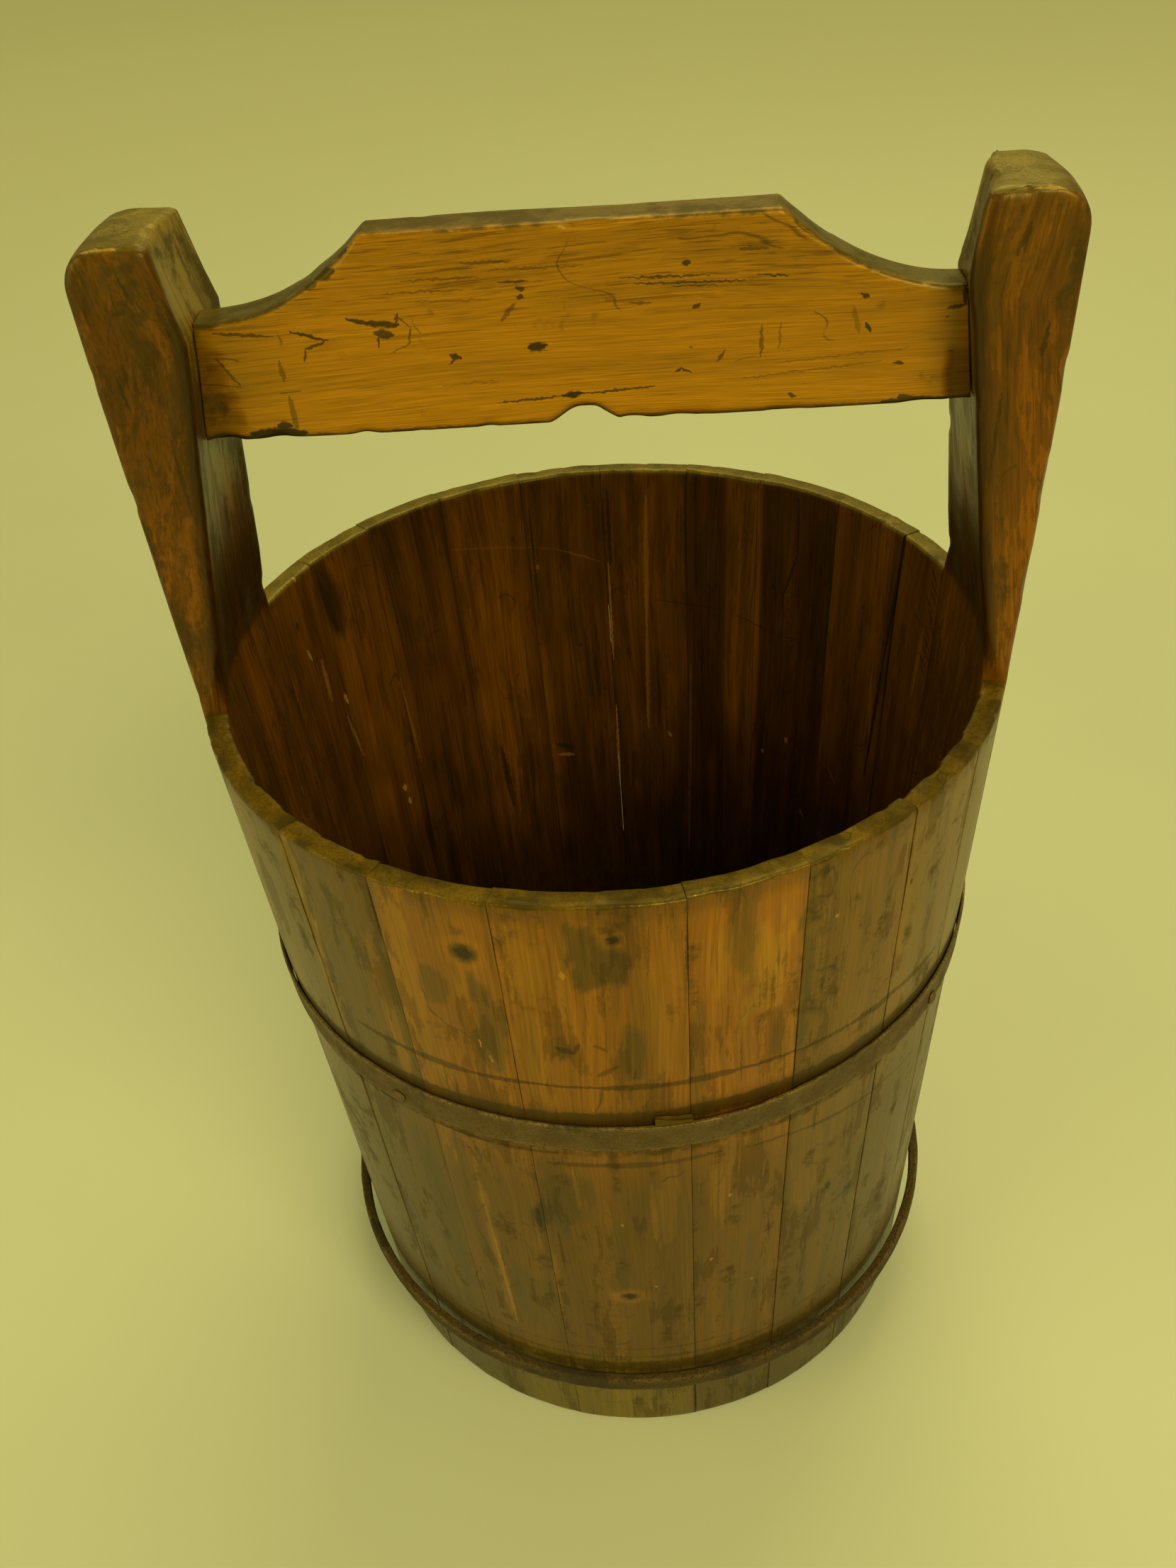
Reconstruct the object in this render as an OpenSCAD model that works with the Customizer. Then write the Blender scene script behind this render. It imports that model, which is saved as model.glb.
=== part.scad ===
// Wooden stave bucket with two ears and a fixed cross bar, bound by a flat
// iron hoop and a heavier iron ring. All sizes in millimetres, Z up, the
// origin on the ground under the middle of the bucket, X along the cross bar.

/* [Body] */
// Outer diameter across the rim
rim_d = 340; // [300:1:420]
// Outer diameter across the foot
foot_d = 294; // [250:1:296]
// Height of the staves
body_h = 383; // [320:1:460]
// Thickness of the staves
stave_t = 10; // [9:0.5:13]
// Gap left in each joint between staves
joint_gap = 0.3; // [0.1:0.05:0.5]
// Widths of the front staves, left to right, in shares of the arc between the ears
front_shares = [14, 15.5, 15.5, 16, 23.5, 15.5, 17, 15.5, 15.5];
// Widths of the back staves, right to left, in shares of the arc between the ears
back_shares = [12, 16, 16.5, 14, 16, 15, 15.5, 15.5, 14, 13];

/* [Ears] */
// Height of the ears above the rim
ear_rise = 184; // [150:1:220]
// Arc that each ear takes at the wall, in degrees
ear_arc = 32; // [26:1:38]
// Width of an ear at its top
ear_top_w = 47; // [36:1:60]
// Thickness of an ear where the bar enters it
ear_t = 37; // [30:0.5:44]
// Thickness of an ear at its top
ear_top_t = 33; // [26:0.5:40]
// Rounding of the outer top corner of an ear
ear_round = 16; // [6:0.5:20]

/* [Bar] */
// Height of the bar at its middle
bar_h = 75; // [60:1:90]
// Height of the bar where it meets the ears
bar_end_h = 44; // [38:1:56]
// Thickness of the bar
bar_t = 20; // [16:0.5:26]
// Length of the raised middle
bar_flat = 150; // [110:1:190]
// Drop from the top of the ears to the top of the bar
bar_drop = 6; // [2:0.5:12]
// Width of the small notch under the bar
notch_w = 28; // [10:1:40]
// Rise of the notch under the bar
notch_h = 6; // [2:0.5:10]
// Width of the notch at its top
notch_top_w = 7; // [4:1:10]
// Thickness of the tenons
tenon_t = 14; // [10:0.5:15]
// Height of the tenons
tenon_h = 34; // [24:1:36]
// Length of each tenon inside its ear
tenon_len = 20; // [12:0.5:22]
// Clearance round a tenon and at the bar's shoulders
tenon_fit = 0.2; // [0.1:0.05:0.4]

/* [Bottom] */
// Height of the underside of the bottom boards
board_z = 24; // [16:1:30]
// Thickness of the bottom boards
board_t = 14; // [10:0.5:18]
// Depth of the groove that holds the boards
groove_d = 4; // [3:0.25:5]
// Clearance of the boards in their groove and between them
board_fit = 0.2; // [0.1:0.05:0.4]

/* [Pins] */
// Diameter of the bamboo pins between staves and between boards
pin_d = 4; // [3:0.25:5]
// Length of a bamboo pin
pin_len = 18; // [12:1:22]
// Height of the lower row of stave pins
pin_low_z = 110; // [80:1:140]
// Distance from the upper row of stave pins to the rim
pin_high_drop = 70; // [50:1:100]
// Distance of a board pin from the middle of its joint
board_pin_x = 60; // [40:1:80]
// Clearance round pins, nails and rivets
pin_fit = 0.1; // [0.05:0.05:0.2]

/* [Hoop] */
// Height of the lower edge of the flat hoop
hoop_z = 242.5; // [200:0.5:270]
// Width of the flat hoop
hoop_w = 16; // [11:0.5:20]
// Thickness of the flat hoop
hoop_t = 1.8; // [1.4:0.1:2.5]
// Gap between the flat hoop and the staves
hoop_fit = 0.15; // [0.1:0.05:0.3]
// Arc of the riveted lap at the back, in degrees
lap_arc = 15; // [12:1:20]
// Spacing of the two rivets, in degrees
rivet_step = 8; // [6:1:9]
// Diameter of the rivets
rivet_d = 3; // [2.5:0.25:4]
// Directions of the two nails, in degrees
nail_az = [-124, -33.5];
// Drop of the nails below the middle of the hoop
nail_drop = 3; // [0:0.5:3.5]
// Diameter of a nail
nail_d = 2.4; // [2:0.2:3]
// Diameter of a nail or rivet head
head_d = 6.4; // [5:0.2:8]
// Height of a nail or rivet head
head_h = 1.8; // [1.2:0.2:2.4]
// Depth that a nail reaches into its stave
nail_bite = 6.5; // [4:0.5:7]
// Width of the wooden shim that sits on the hoop
shim_w = 15; // [10:1:20]
// Depth of the shim, out from the stave
shim_t = 3.2; // [2:0.2:4]
// Depth of the shim at its top end
shim_tip_t = 2.2; // [1.5:0.1:3]
// Height of the shim above the hoop
shim_h = 3.5; // [2:0.5:5]
// Direction of the shim, in degrees
shim_az = -82; // [-84:0.5:-81]

/* [Ring] */
// Height of the lower edge of the heavy ring
ring_z = 43.5; // [40:0.5:70]
// Height of the heavy ring
ring_h = 9; // [7:0.5:12]
// Thickness of the heavy ring
ring_t = 5; // [4:0.5:7]
// Gap between the heavy ring and the staves
ring_fit = 0.3; // [0.2:0.1:0.5]
// Chamfer on the edges of the heavy ring
ring_edge = 1; // [0.5:0.1:1.5]

/* [Hidden] */
$fn = 96;
eps = 1;
shoulder_steps = 8;

function wall_r(z) = foot_d / 2 + (rim_d - foot_d) / 2 * z / body_h;
function sum(v, n) = n <= 0 ? 0 : v[n - 1] + sum(v, n - 1);

total_h = body_h + ear_rise;
gap_deg = joint_gap / (rim_d / 2) * 180 / PI;
wall_slope = atan((rim_d - foot_d) / 2 / body_h);
side_arc = 180 - ear_arc;

// Directions of the joints, counted anticlockwise from the right ear
back_total = sum(back_shares, len(back_shares));
front_total = sum(front_shares, len(front_shares));
back_joints = [
    for (i = [0:len(back_shares)])
        ear_arc / 2 + side_arc * sum(back_shares, i) / back_total
];
front_joints = [
    for (i = [0:len(front_shares)])
        180 + ear_arc / 2 + side_arc * sum(front_shares, i) / front_total
];
all_joints = concat(back_joints, front_joints);

// Bar and ear levels
bar_top = total_h - bar_drop;
bar_low = bar_top - bar_h;
bar_end_top = bar_low + bar_end_h;
tenon_z = bar_low + (bar_end_h - tenon_h) / 2;
ear_in_r = wall_r(bar_end_top) - ear_t;
tenon_end = ear_in_r + tenon_len;
ear_rim_w = 2 * wall_r(body_h) * sin(ear_arc / 2);

// Croze groove and boards
board_r = wall_r(board_z) - stave_t + groove_d - board_fit;
board_w = 2 * board_r / 3;
groove_lo = board_z - board_fit;
groove_hi = board_z + board_t + board_fit;
groove_r = board_r + board_fit;

pin_rows = [pin_low_z, body_h - pin_high_drop];
hoop_mid = hoop_z + hoop_w / 2;
hoop_top = hoop_z + hoop_w;
hoop_in = wall_r(hoop_mid) + hoop_fit;
nail_seat = hoop_in + hoop_t + pin_fit;
rivet_seat = hoop_in + 2 * hoop_t + pin_fit;
rivet_az = [90 - rivet_step / 2, 90 + rivet_step / 2];
ring_in = wall_r(ring_z + ring_h) + ring_fit;

// Points its children squarely out of the sloping wall, at one direction and at
// a small drop below the middle of the flat hoop
module at_hoop(az, r, drop = 0) {
    rotate([0, 0, az])
        translate([r, 0, hoop_mid])
            rotate([0, 90 + wall_slope, 0]) translate([drop, 0, 0]) children();
}

// A round pin lying across a joint, half in each stave
module joint_pin(az, z, d, length) {
    rotate([0, 0, az])
        translate([wall_r(z) - stave_t / 2, 0, z])
            rotate([90, 0, 0]) cylinder(d = d, h = length, center = true);
}

module all_joint_pins(d, length) {
    for (az = all_joints, z = pin_rows) joint_pin(az, z, d, length);
}

// Shank with a low domed head; the head sits on the plane z = 0
module headed_pin(d, length) {
    rotate_extrude()
        polygon(concat(
            [[0, -length], [d / 2, -length], [d / 2, 0]],
            [for (a = [0:15:90]) [head_d / 2 * cos(a), head_h * sin(a)]]
        ));
}

// A clearance hole under a head, from just above the head's seat down to a depth
module head_hole(d, depth) {
    translate([0, 0, -depth]) cylinder(d = d + 2 * pin_fit, h = depth + eps);
}

// Holes for the nails, through the hoop and into the staves
module nail_holes() {
    for (az = nail_az)
        at_hoop(az, nail_seat, nail_drop) head_hole(nail_d, hoop_t + nail_bite + pin_fit);
}

// Holes for the rivets, through both layers of the lap
module rivet_holes() {
    for (az = rivet_az) at_hoop(az, rivet_seat) head_hole(rivet_d, 2 * hoop_t + eps);
}

// Section of the wall: cone outside, cone inside, with the groove for the boards
module wall_section() {
    polygon([
        [wall_r(0) - stave_t, 0],
        [wall_r(groove_lo) - stave_t, groove_lo],
        [groove_r, groove_lo],
        [groove_r, groove_hi],
        [wall_r(groove_hi) - stave_t, groove_hi],
        [wall_r(body_h) - stave_t, body_h],
        [wall_r(body_h), body_h],
        [wall_r(0), 0]
    ]);
}

module stave(from, to) {
    difference() {
        rotate([0, 0, from + gap_deg / 2])
            rotate_extrude(angle = to - from - gap_deg) wall_section();
        all_joint_pins(pin_d + 2 * pin_fit, pin_len + 2 * pin_fit);
        nail_holes();
    }
}

module front_stave(n) {
    color(n % 2 == 0 ? "peru" : "sienna") stave(front_joints[n - 1], front_joints[n]);
}

module back_stave(n) {
    color(n % 2 == 0 ? "peru" : "sienna") stave(back_joints[n - 1], back_joints[n]);
}

// Section of an ear: the wall, then a body that thickens inwards up to the bar
module ear_section() {
    round_z = total_h - ear_round;
    round_r = wall_r(round_z) - ear_round;
    polygon(concat(
        [
            [wall_r(total_h) - ear_top_t, total_h],
            [ear_in_r, bar_end_top],
            [wall_r(body_h) - stave_t, body_h],
            [wall_r(groove_hi) - stave_t, groove_hi],
            [groove_r, groove_hi],
            [groove_r, groove_lo],
            [wall_r(groove_lo) - stave_t, groove_lo],
            [wall_r(0) - stave_t, 0],
            [wall_r(0), 0]
        ],
        [for (a = [0:15:90]) [round_r + ear_round * cos(a), round_z + ear_round * sin(a)]]
    ));
}

// Outline of an ear seen from its outer side: straight wall, tapered above the rim
module ear_outline() {
    polygon([
        [-ear_rim_w / 2, -eps],
        [ear_rim_w / 2, -eps],
        [ear_rim_w / 2, body_h],
        [ear_top_w / 2, total_h + eps],
        [-ear_top_w / 2, total_h + eps],
        [-ear_rim_w / 2, body_h]
    ]);
}

module ear() {
    color("saddlebrown")
        difference() {
            intersection() {
                rotate([0, 0, -ear_arc / 2 + gap_deg / 2])
                    rotate_extrude(angle = ear_arc - gap_deg) ear_section();
                rotate([90, 0, 90]) linear_extrude(rim_d) ear_outline();
            }
            tenons(tenon_fit);
            for (az = [-ear_arc / 2, ear_arc / 2], z = pin_rows)
                joint_pin(az, z, pin_d + 2 * pin_fit, pin_len + 2 * pin_fit);
        }
}

module left_ear() {
    rotate([0, 0, 180]) ear();
}

module right_ear() {
    ear();
}

// Both tenons as one straight tongue through the length of the bar
module tenons(fit) {
    translate([-tenon_end - fit, -tenon_t / 2 - fit, tenon_z - fit])
        cube([2 * (tenon_end + fit), tenon_t + 2 * fit, tenon_h + 2 * fit]);
}

// Outline of the bar: raised middle, hollow shoulders, small notch underneath
module bar_outline() {
    half_flat = bar_flat / 2;
    shoulder = [
        for (i = [0:shoulder_steps])
            let (t = i / shoulder_steps)
                [half_flat + t * (ear_in_r - half_flat),
                    bar_end_top + (bar_h - bar_end_h) * pow(1 - t, 2)]
    ];
    polygon(concat(
        shoulder,
        [
            [rim_d / 2, bar_end_top],
            [rim_d / 2, bar_low],
            [notch_w / 2, bar_low],
            [notch_top_w / 2, bar_low + notch_h],
            [-notch_top_w / 2, bar_low + notch_h],
            [-notch_w / 2, bar_low],
            [-rim_d / 2, bar_low],
            [-rim_d / 2, bar_end_top]
        ],
        [for (i = [shoulder_steps:-1:0]) [-shoulder[i][0], shoulder[i][1]]]
    ));
}

// The space between the ears, which cuts the ends of the bar to their slope
module between_ears() {
    rotate_extrude()
        polygon([
            [0, body_h],
            [wall_r(body_h) - stave_t - tenon_fit, body_h],
            [ear_in_r - tenon_fit, bar_end_top],
            [wall_r(total_h) - ear_top_t - tenon_fit, total_h],
            [0, total_h]
        ]);
}

module handle_bar() {
    color("goldenrod") {
        intersection() {
            rotate([90, 0, 0]) linear_extrude(bar_t, center = true) bar_outline();
            between_ears();
        }
        tenons(0);
    }
}

module stave_pins() {
    color("burlywood") all_joint_pins(pin_d, pin_len);
}

module bottom_board(n) {
    color("sienna")
        difference() {
            intersection() {
                translate([0, 0, board_z]) cylinder(r = board_r, h = board_t);
                translate([-rim_d / 2, -board_r + (n - 1) * board_w + board_fit / 2, 0])
                    cube([rim_d, board_w - board_fit, board_z + board_t + eps]);
            }
            pins_between_boards(pin_d + 2 * pin_fit, pin_len + 2 * pin_fit);
        }
}

module pins_between_boards(d, length) {
    for (x = [-board_pin_x, board_pin_x], y = [-board_w / 2, board_w / 2])
        translate([x, y, board_z + board_t / 2])
            rotate([90, 0, 0]) cylinder(d = d, h = length, center = true);
}

module board_pins() {
    color("burlywood") pins_between_boards(pin_d, pin_len);
}

// A slanting strip that follows the wall, as thick as is asked
module strip_section(t) {
    polygon([
        [wall_r(hoop_z) + hoop_fit, hoop_z],
        [wall_r(hoop_z) + hoop_fit + t, hoop_z],
        [wall_r(hoop_top) + hoop_fit + t, hoop_top],
        [wall_r(hoop_top) + hoop_fit, hoop_top]
    ]);
}

module flat_hoop() {
    color("dimgray")
        difference() {
            union() {
                rotate([0, 0, 90 + lap_arc / 2])
                    rotate_extrude(angle = 360 - lap_arc) strip_section(hoop_t);
                rotate([0, 0, 90 - lap_arc / 2])
                    rotate_extrude(angle = lap_arc) strip_section(2 * hoop_t);
            }
            nail_holes();
            rivet_holes();
        }
}

module hoop_rivets() {
    color("gray")
        for (az = rivet_az) at_hoop(az, rivet_seat) headed_pin(rivet_d, 2 * hoop_t);
}

module hoop_nails() {
    color("gray")
        for (az = nail_az)
            at_hoop(az, nail_seat, nail_drop) headed_pin(nail_d, hoop_t + nail_bite);
}

module hoop_shim() {
    shim_low = hoop_top + hoop_fit;
    shim_arc = shim_w / wall_r(hoop_top) * 180 / PI;
    color("khaki")
        rotate([0, 0, shim_az - shim_arc / 2])
            rotate_extrude(angle = shim_arc)
                polygon([
                    [wall_r(shim_low) + hoop_fit, shim_low],
                    [wall_r(shim_low) + hoop_fit + shim_t, shim_low],
                    [wall_r(shim_low + shim_h) + hoop_fit + shim_tip_t, shim_low + shim_h],
                    [wall_r(shim_low + shim_h) + hoop_fit, shim_low + shim_h]
                ]);
}

module heavy_ring() {
    ring_top = ring_z + ring_h;
    ring_out = ring_in + ring_t;
    color("#4a3a30")
        rotate_extrude()
            polygon([
                [ring_in, ring_z + ring_edge],
                [ring_in + ring_edge, ring_z],
                [ring_out - ring_edge, ring_z],
                [ring_out, ring_z + ring_edge],
                [ring_out, ring_top - ring_edge],
                [ring_out - ring_edge, ring_top],
                [ring_in + ring_edge, ring_top],
                [ring_in, ring_top - ring_edge]
            ]);
}

left_ear();
right_ear();
handle_bar();
stave_pins();
board_pins();
flat_hoop();
hoop_rivets();
hoop_nails();
hoop_shim();
heavy_ring();
for (n = [1:len(front_shares)])
    front_stave(n);
for (n = [1:len(back_shares)])
    back_stave(n);
for (n = [1:3])
    bottom_board(n);
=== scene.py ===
# %% [markdown]
# # An old coopered wooden bucket
#
# The bucket is made like a barrel: nineteen tapered staves and two long ear staves stand in a ring, two
# iron bands draw them together, and a shaped bar tenoned between the ears is the handle. This lesson
# loads the measured model as a fixed frame and rebuilds every visible piece over it with worn edges,
# grain, dirt and rust. Each part of the lesson first says what the piece is on the real bucket.

# %% Load the frame
import math

import bpy
import numpy as np
from mathutils import Matrix, Vector


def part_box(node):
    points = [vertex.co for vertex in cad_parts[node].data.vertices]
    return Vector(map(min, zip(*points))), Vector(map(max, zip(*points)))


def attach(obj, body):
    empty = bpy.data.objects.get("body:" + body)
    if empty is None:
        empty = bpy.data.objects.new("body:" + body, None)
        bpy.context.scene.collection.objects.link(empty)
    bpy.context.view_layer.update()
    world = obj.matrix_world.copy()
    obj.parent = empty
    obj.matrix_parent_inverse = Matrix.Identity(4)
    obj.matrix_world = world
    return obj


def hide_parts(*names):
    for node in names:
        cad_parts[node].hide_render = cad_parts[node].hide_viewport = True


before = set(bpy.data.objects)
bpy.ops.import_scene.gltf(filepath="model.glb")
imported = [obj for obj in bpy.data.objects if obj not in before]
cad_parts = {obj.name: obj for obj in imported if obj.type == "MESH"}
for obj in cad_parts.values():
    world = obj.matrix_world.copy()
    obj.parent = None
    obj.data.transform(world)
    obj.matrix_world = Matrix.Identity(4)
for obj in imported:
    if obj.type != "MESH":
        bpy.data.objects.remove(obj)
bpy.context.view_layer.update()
MM = 0.001

# %% [markdown]
# ## Measure before making
#
# A cooper works from a few numbers: the circle at the rim, the circle at the foot, the height and the
# thickness of a stave. They could be typed in again here, but reading them from the frame keeps the looks
# and the measured model together, so that both change when one does.

# %% Sizes read from the frame
def corners(node):
    """Every vertex of a frame node, in metres."""
    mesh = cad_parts[node].data
    found = np.empty(len(mesh.vertices) * 3)
    mesh.vertices.foreach_get("co", found)
    return found.reshape(-1, 3)


def span(node):
    """First and last direction of a node round the bucket, in radians."""
    points = corners(node)
    turn = np.arctan2(points[:, 1], points[:, 0])
    return turn.min(), turn.max()


sample = corners("front_stave_5")
reach = np.hypot(sample[:, 0], sample[:, 1])
body_h = sample[:, 2].max()
at_rim = sample[:, 2] > body_h - MM
rim_r = reach[at_rim].max()
stave_t = rim_r - reach[at_rim].min()
foot_r = reach[sample[:, 2] < MM].max()


def wall(z):
    """Outer radius of the wall at a height."""
    return foot_r + (rim_r - foot_r) * z / body_h


print(f"rim {rim_r / MM:.0f}, foot {foot_r / MM:.0f}, height {body_h / MM:.0f}, wall {stave_t / MM:.1f} mm")

# %% [markdown]
# ## A block of wood to shape
#
# Every wooden piece starts as a squared block. Here that is a lattice over the surface of a unit block,
# with its lines closer together near the arrises, so that they can be rounded. A modelled cube with bevel
# and subdivision modifiers would do too, but a lattice keeps each line of points running with the grain,
# and each point can be sent to its place on the cone by one formula.

# %% Blocks, soft arrises and random bumps
def join(*columns):
    """Columns of numbers side by side, such as x, y and z made into points."""
    return np.stack(columns, -1)


def on_circle(radius, turn, height):
    """Points from their distance from the middle, direction in radians and height."""
    return join(radius * np.cos(turn), radius * np.sin(turn), height)


def smooth(low, high, value):
    """0 below low, 1 above high, and a smooth ramp between."""
    part = np.clip((value - low) / (high - low), 0, 1)
    return part * part * (3 - 2 * part)


def lumps(points, size, seed=0):
    """Smooth random bumps from -1 to 1. size is their spacing, one number or one for each axis."""
    place = points / np.asarray(size) + np.array([7.3, 3.1, 5.7]) * (seed + 1)
    cell = np.floor(place).astype(np.int64)
    part = place - cell
    part = part * part * (3 - 2 * part)
    total = np.zeros(len(points))
    for corner in np.ndindex(2, 2, 2):
        at = cell + corner
        code = (at[:, 0] * 73856093) ^ (at[:, 1] * 19349663) ^ (at[:, 2] * 83492791)
        code = ((code & 0xFFFFFFF) * 1274126177) & 0xFFFFFFFF
        code = ((code ^ (code >> 15)) * 2246822519) & 0xFFFFFFFF
        share = np.where(corner, part, 1 - part).prod(axis=1)
        total += share * (((code >> 8) & 0xFFFF) / 32767.5 - 1)
    return total


def stations(length, step, soft):
    """Places from 0 to length about a step apart, with extra ones where both ends are rounded."""
    near = np.array([0, 0.45, 1]) * soft
    between = np.linspace(soft, length - soft, max(2, round((length - 2 * soft) / step) + 1))
    return np.unique(np.concatenate([near, between, length - near]).round(7))


def block(across, through, along):
    """Points over the surface of a block whose lattice lines lie at the given places, and its faces."""
    lines = (across, through, along)
    skin = np.ones([len(line) for line in lines], bool)
    skin[1:-1, 1:-1, 1:-1] = False
    index = np.full(skin.shape, -1)
    index[skin] = np.arange(skin.sum())
    points = np.stack(np.meshgrid(*lines, indexing="ij"), -1)[skin]
    faces = []
    for axis in range(3):
        for side in (0, -1):
            sheet = np.take(index, side, axis=axis)
            loop = join(sheet[:-1, :-1], sheet[1:, :-1], sheet[1:, 1:], sheet[:-1, 1:]).reshape(-1, 4)
            faces.append(loop[:, ::-1] if (side == 0) != (axis == 1) else loop)
    return points, np.concatenate(faces).tolist()


def soften(points, size, radius, axes=(0, 1, 2)):
    """Rounds the arrises of a block between the given axes. size and radius may differ at each point."""
    made = points.copy()
    held = join(*[np.clip(points[:, a], radius, size[a] - radius) for a in axes])
    away = points[:, list(axes)] - held
    far = np.maximum(np.linalg.norm(away, axis=1), 1e-12)
    pull = np.minimum(1, radius / far)
    for n, a in enumerate(axes):
        made[:, a] = held[:, n] + away[:, n] * pull
    return made


# %% Turn points and faces into a piece
def tone(red, green, blue):
    """A colour as seen on a screen, 0 to 255, in the linear numbers that shaders use."""
    part = np.array([red, green, blue]) / 255
    return np.where(part <= 0.04045, part / 12.92, ((part + 0.055) / 1.055) ** 2.4)


def add_layer(mesh, name, values):
    """Stores one value, vector or colour at each vertex, for a material to read by name."""
    single = values.ndim == 1
    layer = mesh.attributes.new(name, "FLOAT" if single else "FLOAT_VECTOR", "POINT")
    layer.data.foreach_set("value" if single else "vector", values.astype(np.float32).ravel())


def make_piece(name, points, faces, material, slot, node, **layers):
    """One mesh object that stands for a frame node and takes its finish from a material slot."""
    mesh = bpy.data.meshes.new(name)
    mesh.from_pydata(points.tolist(), [], faces)
    mesh.polygons.foreach_set("use_smooth", np.ones(len(faces), bool))
    for layer, values in layers.items():
        add_layer(mesh, layer, values)
    mesh.materials.append(material)
    made = bpy.data.objects.new(name, mesh)
    bpy.context.scene.collection.objects.link(made)
    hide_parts(node)
    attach(made, "root")
    return made

# %% [markdown]
# ## Wiring materials
#
# A material is a small circuit of nodes. Effects that several finishes share, such as grain or dirt, are
# built once as node groups with named sockets, and each material places them with its own values.

# %% Node helpers
def add(tree, kind, inputs=(), **settings):
    """Adds one node. inputs maps socket names or numbers to values or to other nodes' outputs."""
    made = tree.nodes.new(kind)
    for key, value in settings.items():
        setattr(made, key, value)
    for key, value in dict(inputs).items():
        if isinstance(value, bpy.types.NodeSocket):
            tree.links.new(value, made.inputs[key])
        else:
            made.inputs[key].default_value = value
    return made


def calc(tree, operation, *values, clamp=False):
    """A Math node's result."""
    made = add(tree, "ShaderNodeMath", dict(enumerate(values)), operation=operation, use_clamp=clamp)
    return made.outputs[0]


def ramp(tree, value, low, high):
    """0 below low and 1 above high, with a smooth step between."""
    sockets = {"Value": value, "From Min": low, "From Max": high}
    return add(tree, "ShaderNodeMapRange", sockets, interpolation_type="SMOOTHSTEP").outputs[0]


def mix(tree, share, first, second, how="MIX"):
    """Two colours mixed by a share; either may be an output or three numbers."""
    def colour(value):
        return value if isinstance(value, bpy.types.NodeSocket) else (*value, 1)
    sockets = {0: share, 6: colour(first), 7: colour(second)}
    made = add(tree, "ShaderNodeMix", sockets, data_type="RGBA", blend_type=how, clamp_factor=True)
    return made.outputs[2]


def cover(tree, under, mask, strength, over):
    """Lays a colour over another where a mask says, at a given strength."""
    return mix(tree, calc(tree, "MULTIPLY", mask, strength), under, over)


def vector_math(tree, operation, first, second=None, output=0):
    """A Vector Math node's result."""
    inputs = {0: first} if second is None else {0: first, 1: second}
    return add(tree, "ShaderNodeVectorMath", inputs, operation=operation).outputs[output]


def stretch(tree, vector, scale):
    """A vector times three numbers."""
    return vector_math(tree, "MULTIPLY", vector, scale)


def jog(tree, vector, source, far):
    """A vector pushed sideways by a grey value, far at most."""
    push = add(tree, "ShaderNodeCombineXYZ", {"X": calc(tree, "MULTIPLY", source, far)}).outputs[0]
    return vector_math(tree, "ADD", vector, push)


def noise(tree, vector, scale, detail, rough=0.5):
    """A noise texture's grey value."""
    sockets = {"Vector": vector, "Scale": scale, "Detail": detail, "Roughness": rough}
    return add(tree, "ShaderNodeTexNoise", sockets).outputs[0]


def start_material(name):
    """A new material, its tree and its Principled shader's sockets."""
    made = bpy.data.materials.new(name)
    made.use_nodes = True
    return made, made.node_tree, made.node_tree.nodes["Principled BSDF"].inputs


def read_layers(tree, *names):
    """The outputs of one Attribute node for each named layer of the mesh."""
    return {name: add(tree, "ShaderNodeAttribute", attribute_name=name).outputs for name in names}


def start_group(name, inputs, outputs):
    """A new node group. inputs and outputs map socket names to kinds; an input may add a default."""
    tree = bpy.data.node_groups.new(name, "ShaderNodeTree")
    for socket, (kind, default) in inputs.items():
        made = tree.interface.new_socket(socket, in_out="INPUT", socket_type="NodeSocket" + kind)
        if default is not None:
            made.default_value = default
    for socket, kind in outputs.items():
        tree.interface.new_socket(socket, in_out="OUTPUT", socket_type="NodeSocket" + kind)
    return tree, tree.nodes.new("NodeGroupInput").outputs, tree.nodes.new("NodeGroupOutput").inputs


def place(tree, group, **inputs):
    """Puts a group in a material and returns its outputs."""
    named = {key.replace("_", " "): value for key, value in inputs.items()}
    return add(tree, "ShaderNodeGroup", named, node_tree=group).outputs

# %% [markdown]
# ### Grain
#
# The wood is fir or cypress, split along its length. Its early wood has worn a little lower than its late
# wood, so grain is both a colour and a relief. A wave texture gives even bands, which look printed. Noise
# stretched along the piece, at four widths, gives broad bands, streaks, fibres and dark pores.

# %% Grain group
grain_group, given, wanted = start_group(
    "Long grain",
    {"Grain": ("Vector", None), "Bands": ("Float", 90.0), "Streaks": ("Float", 210.0),
     "Fibres": ("Float", 900.0)},
    {"Band": "Float", "Streak": "Float", "Fibre": "Float", "Pore": "Float"},
)
sway = noise(grain_group, stretch(grain_group, given["Grain"], (14, 14, 5)), 1.0, 1.0)
swayed = jog(grain_group, given["Grain"], sway, 0.02)
band = noise(grain_group, stretch(grain_group, swayed, (1.0, 0.6, 0.035)), given["Bands"], 3.0, 0.6)
streak = noise(grain_group, stretch(grain_group, swayed, (1.0, 0.6, 0.06)), given["Streaks"], 4.0, 0.65)
fibre = noise(grain_group, stretch(grain_group, swayed, (1.0, 1.0, 0.022)), given["Fibres"], 2.0, 0.6)
pore = noise(grain_group, stretch(grain_group, swayed, (1.0, 1.0, 0.04)), given["Fibres"], 1.0)
grain_group.links.new(ramp(grain_group, band, 0.32, 0.68), wanted["Band"])
grain_group.links.new(ramp(grain_group, streak, 0.56, 0.64), wanted["Streak"])
grain_group.links.new(ramp(grain_group, fibre, 0.25, 0.75), wanted["Fibre"])
grain_group.links.new(ramp(grain_group, pore, 0.6, 0.7), wanted["Pore"])

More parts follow.
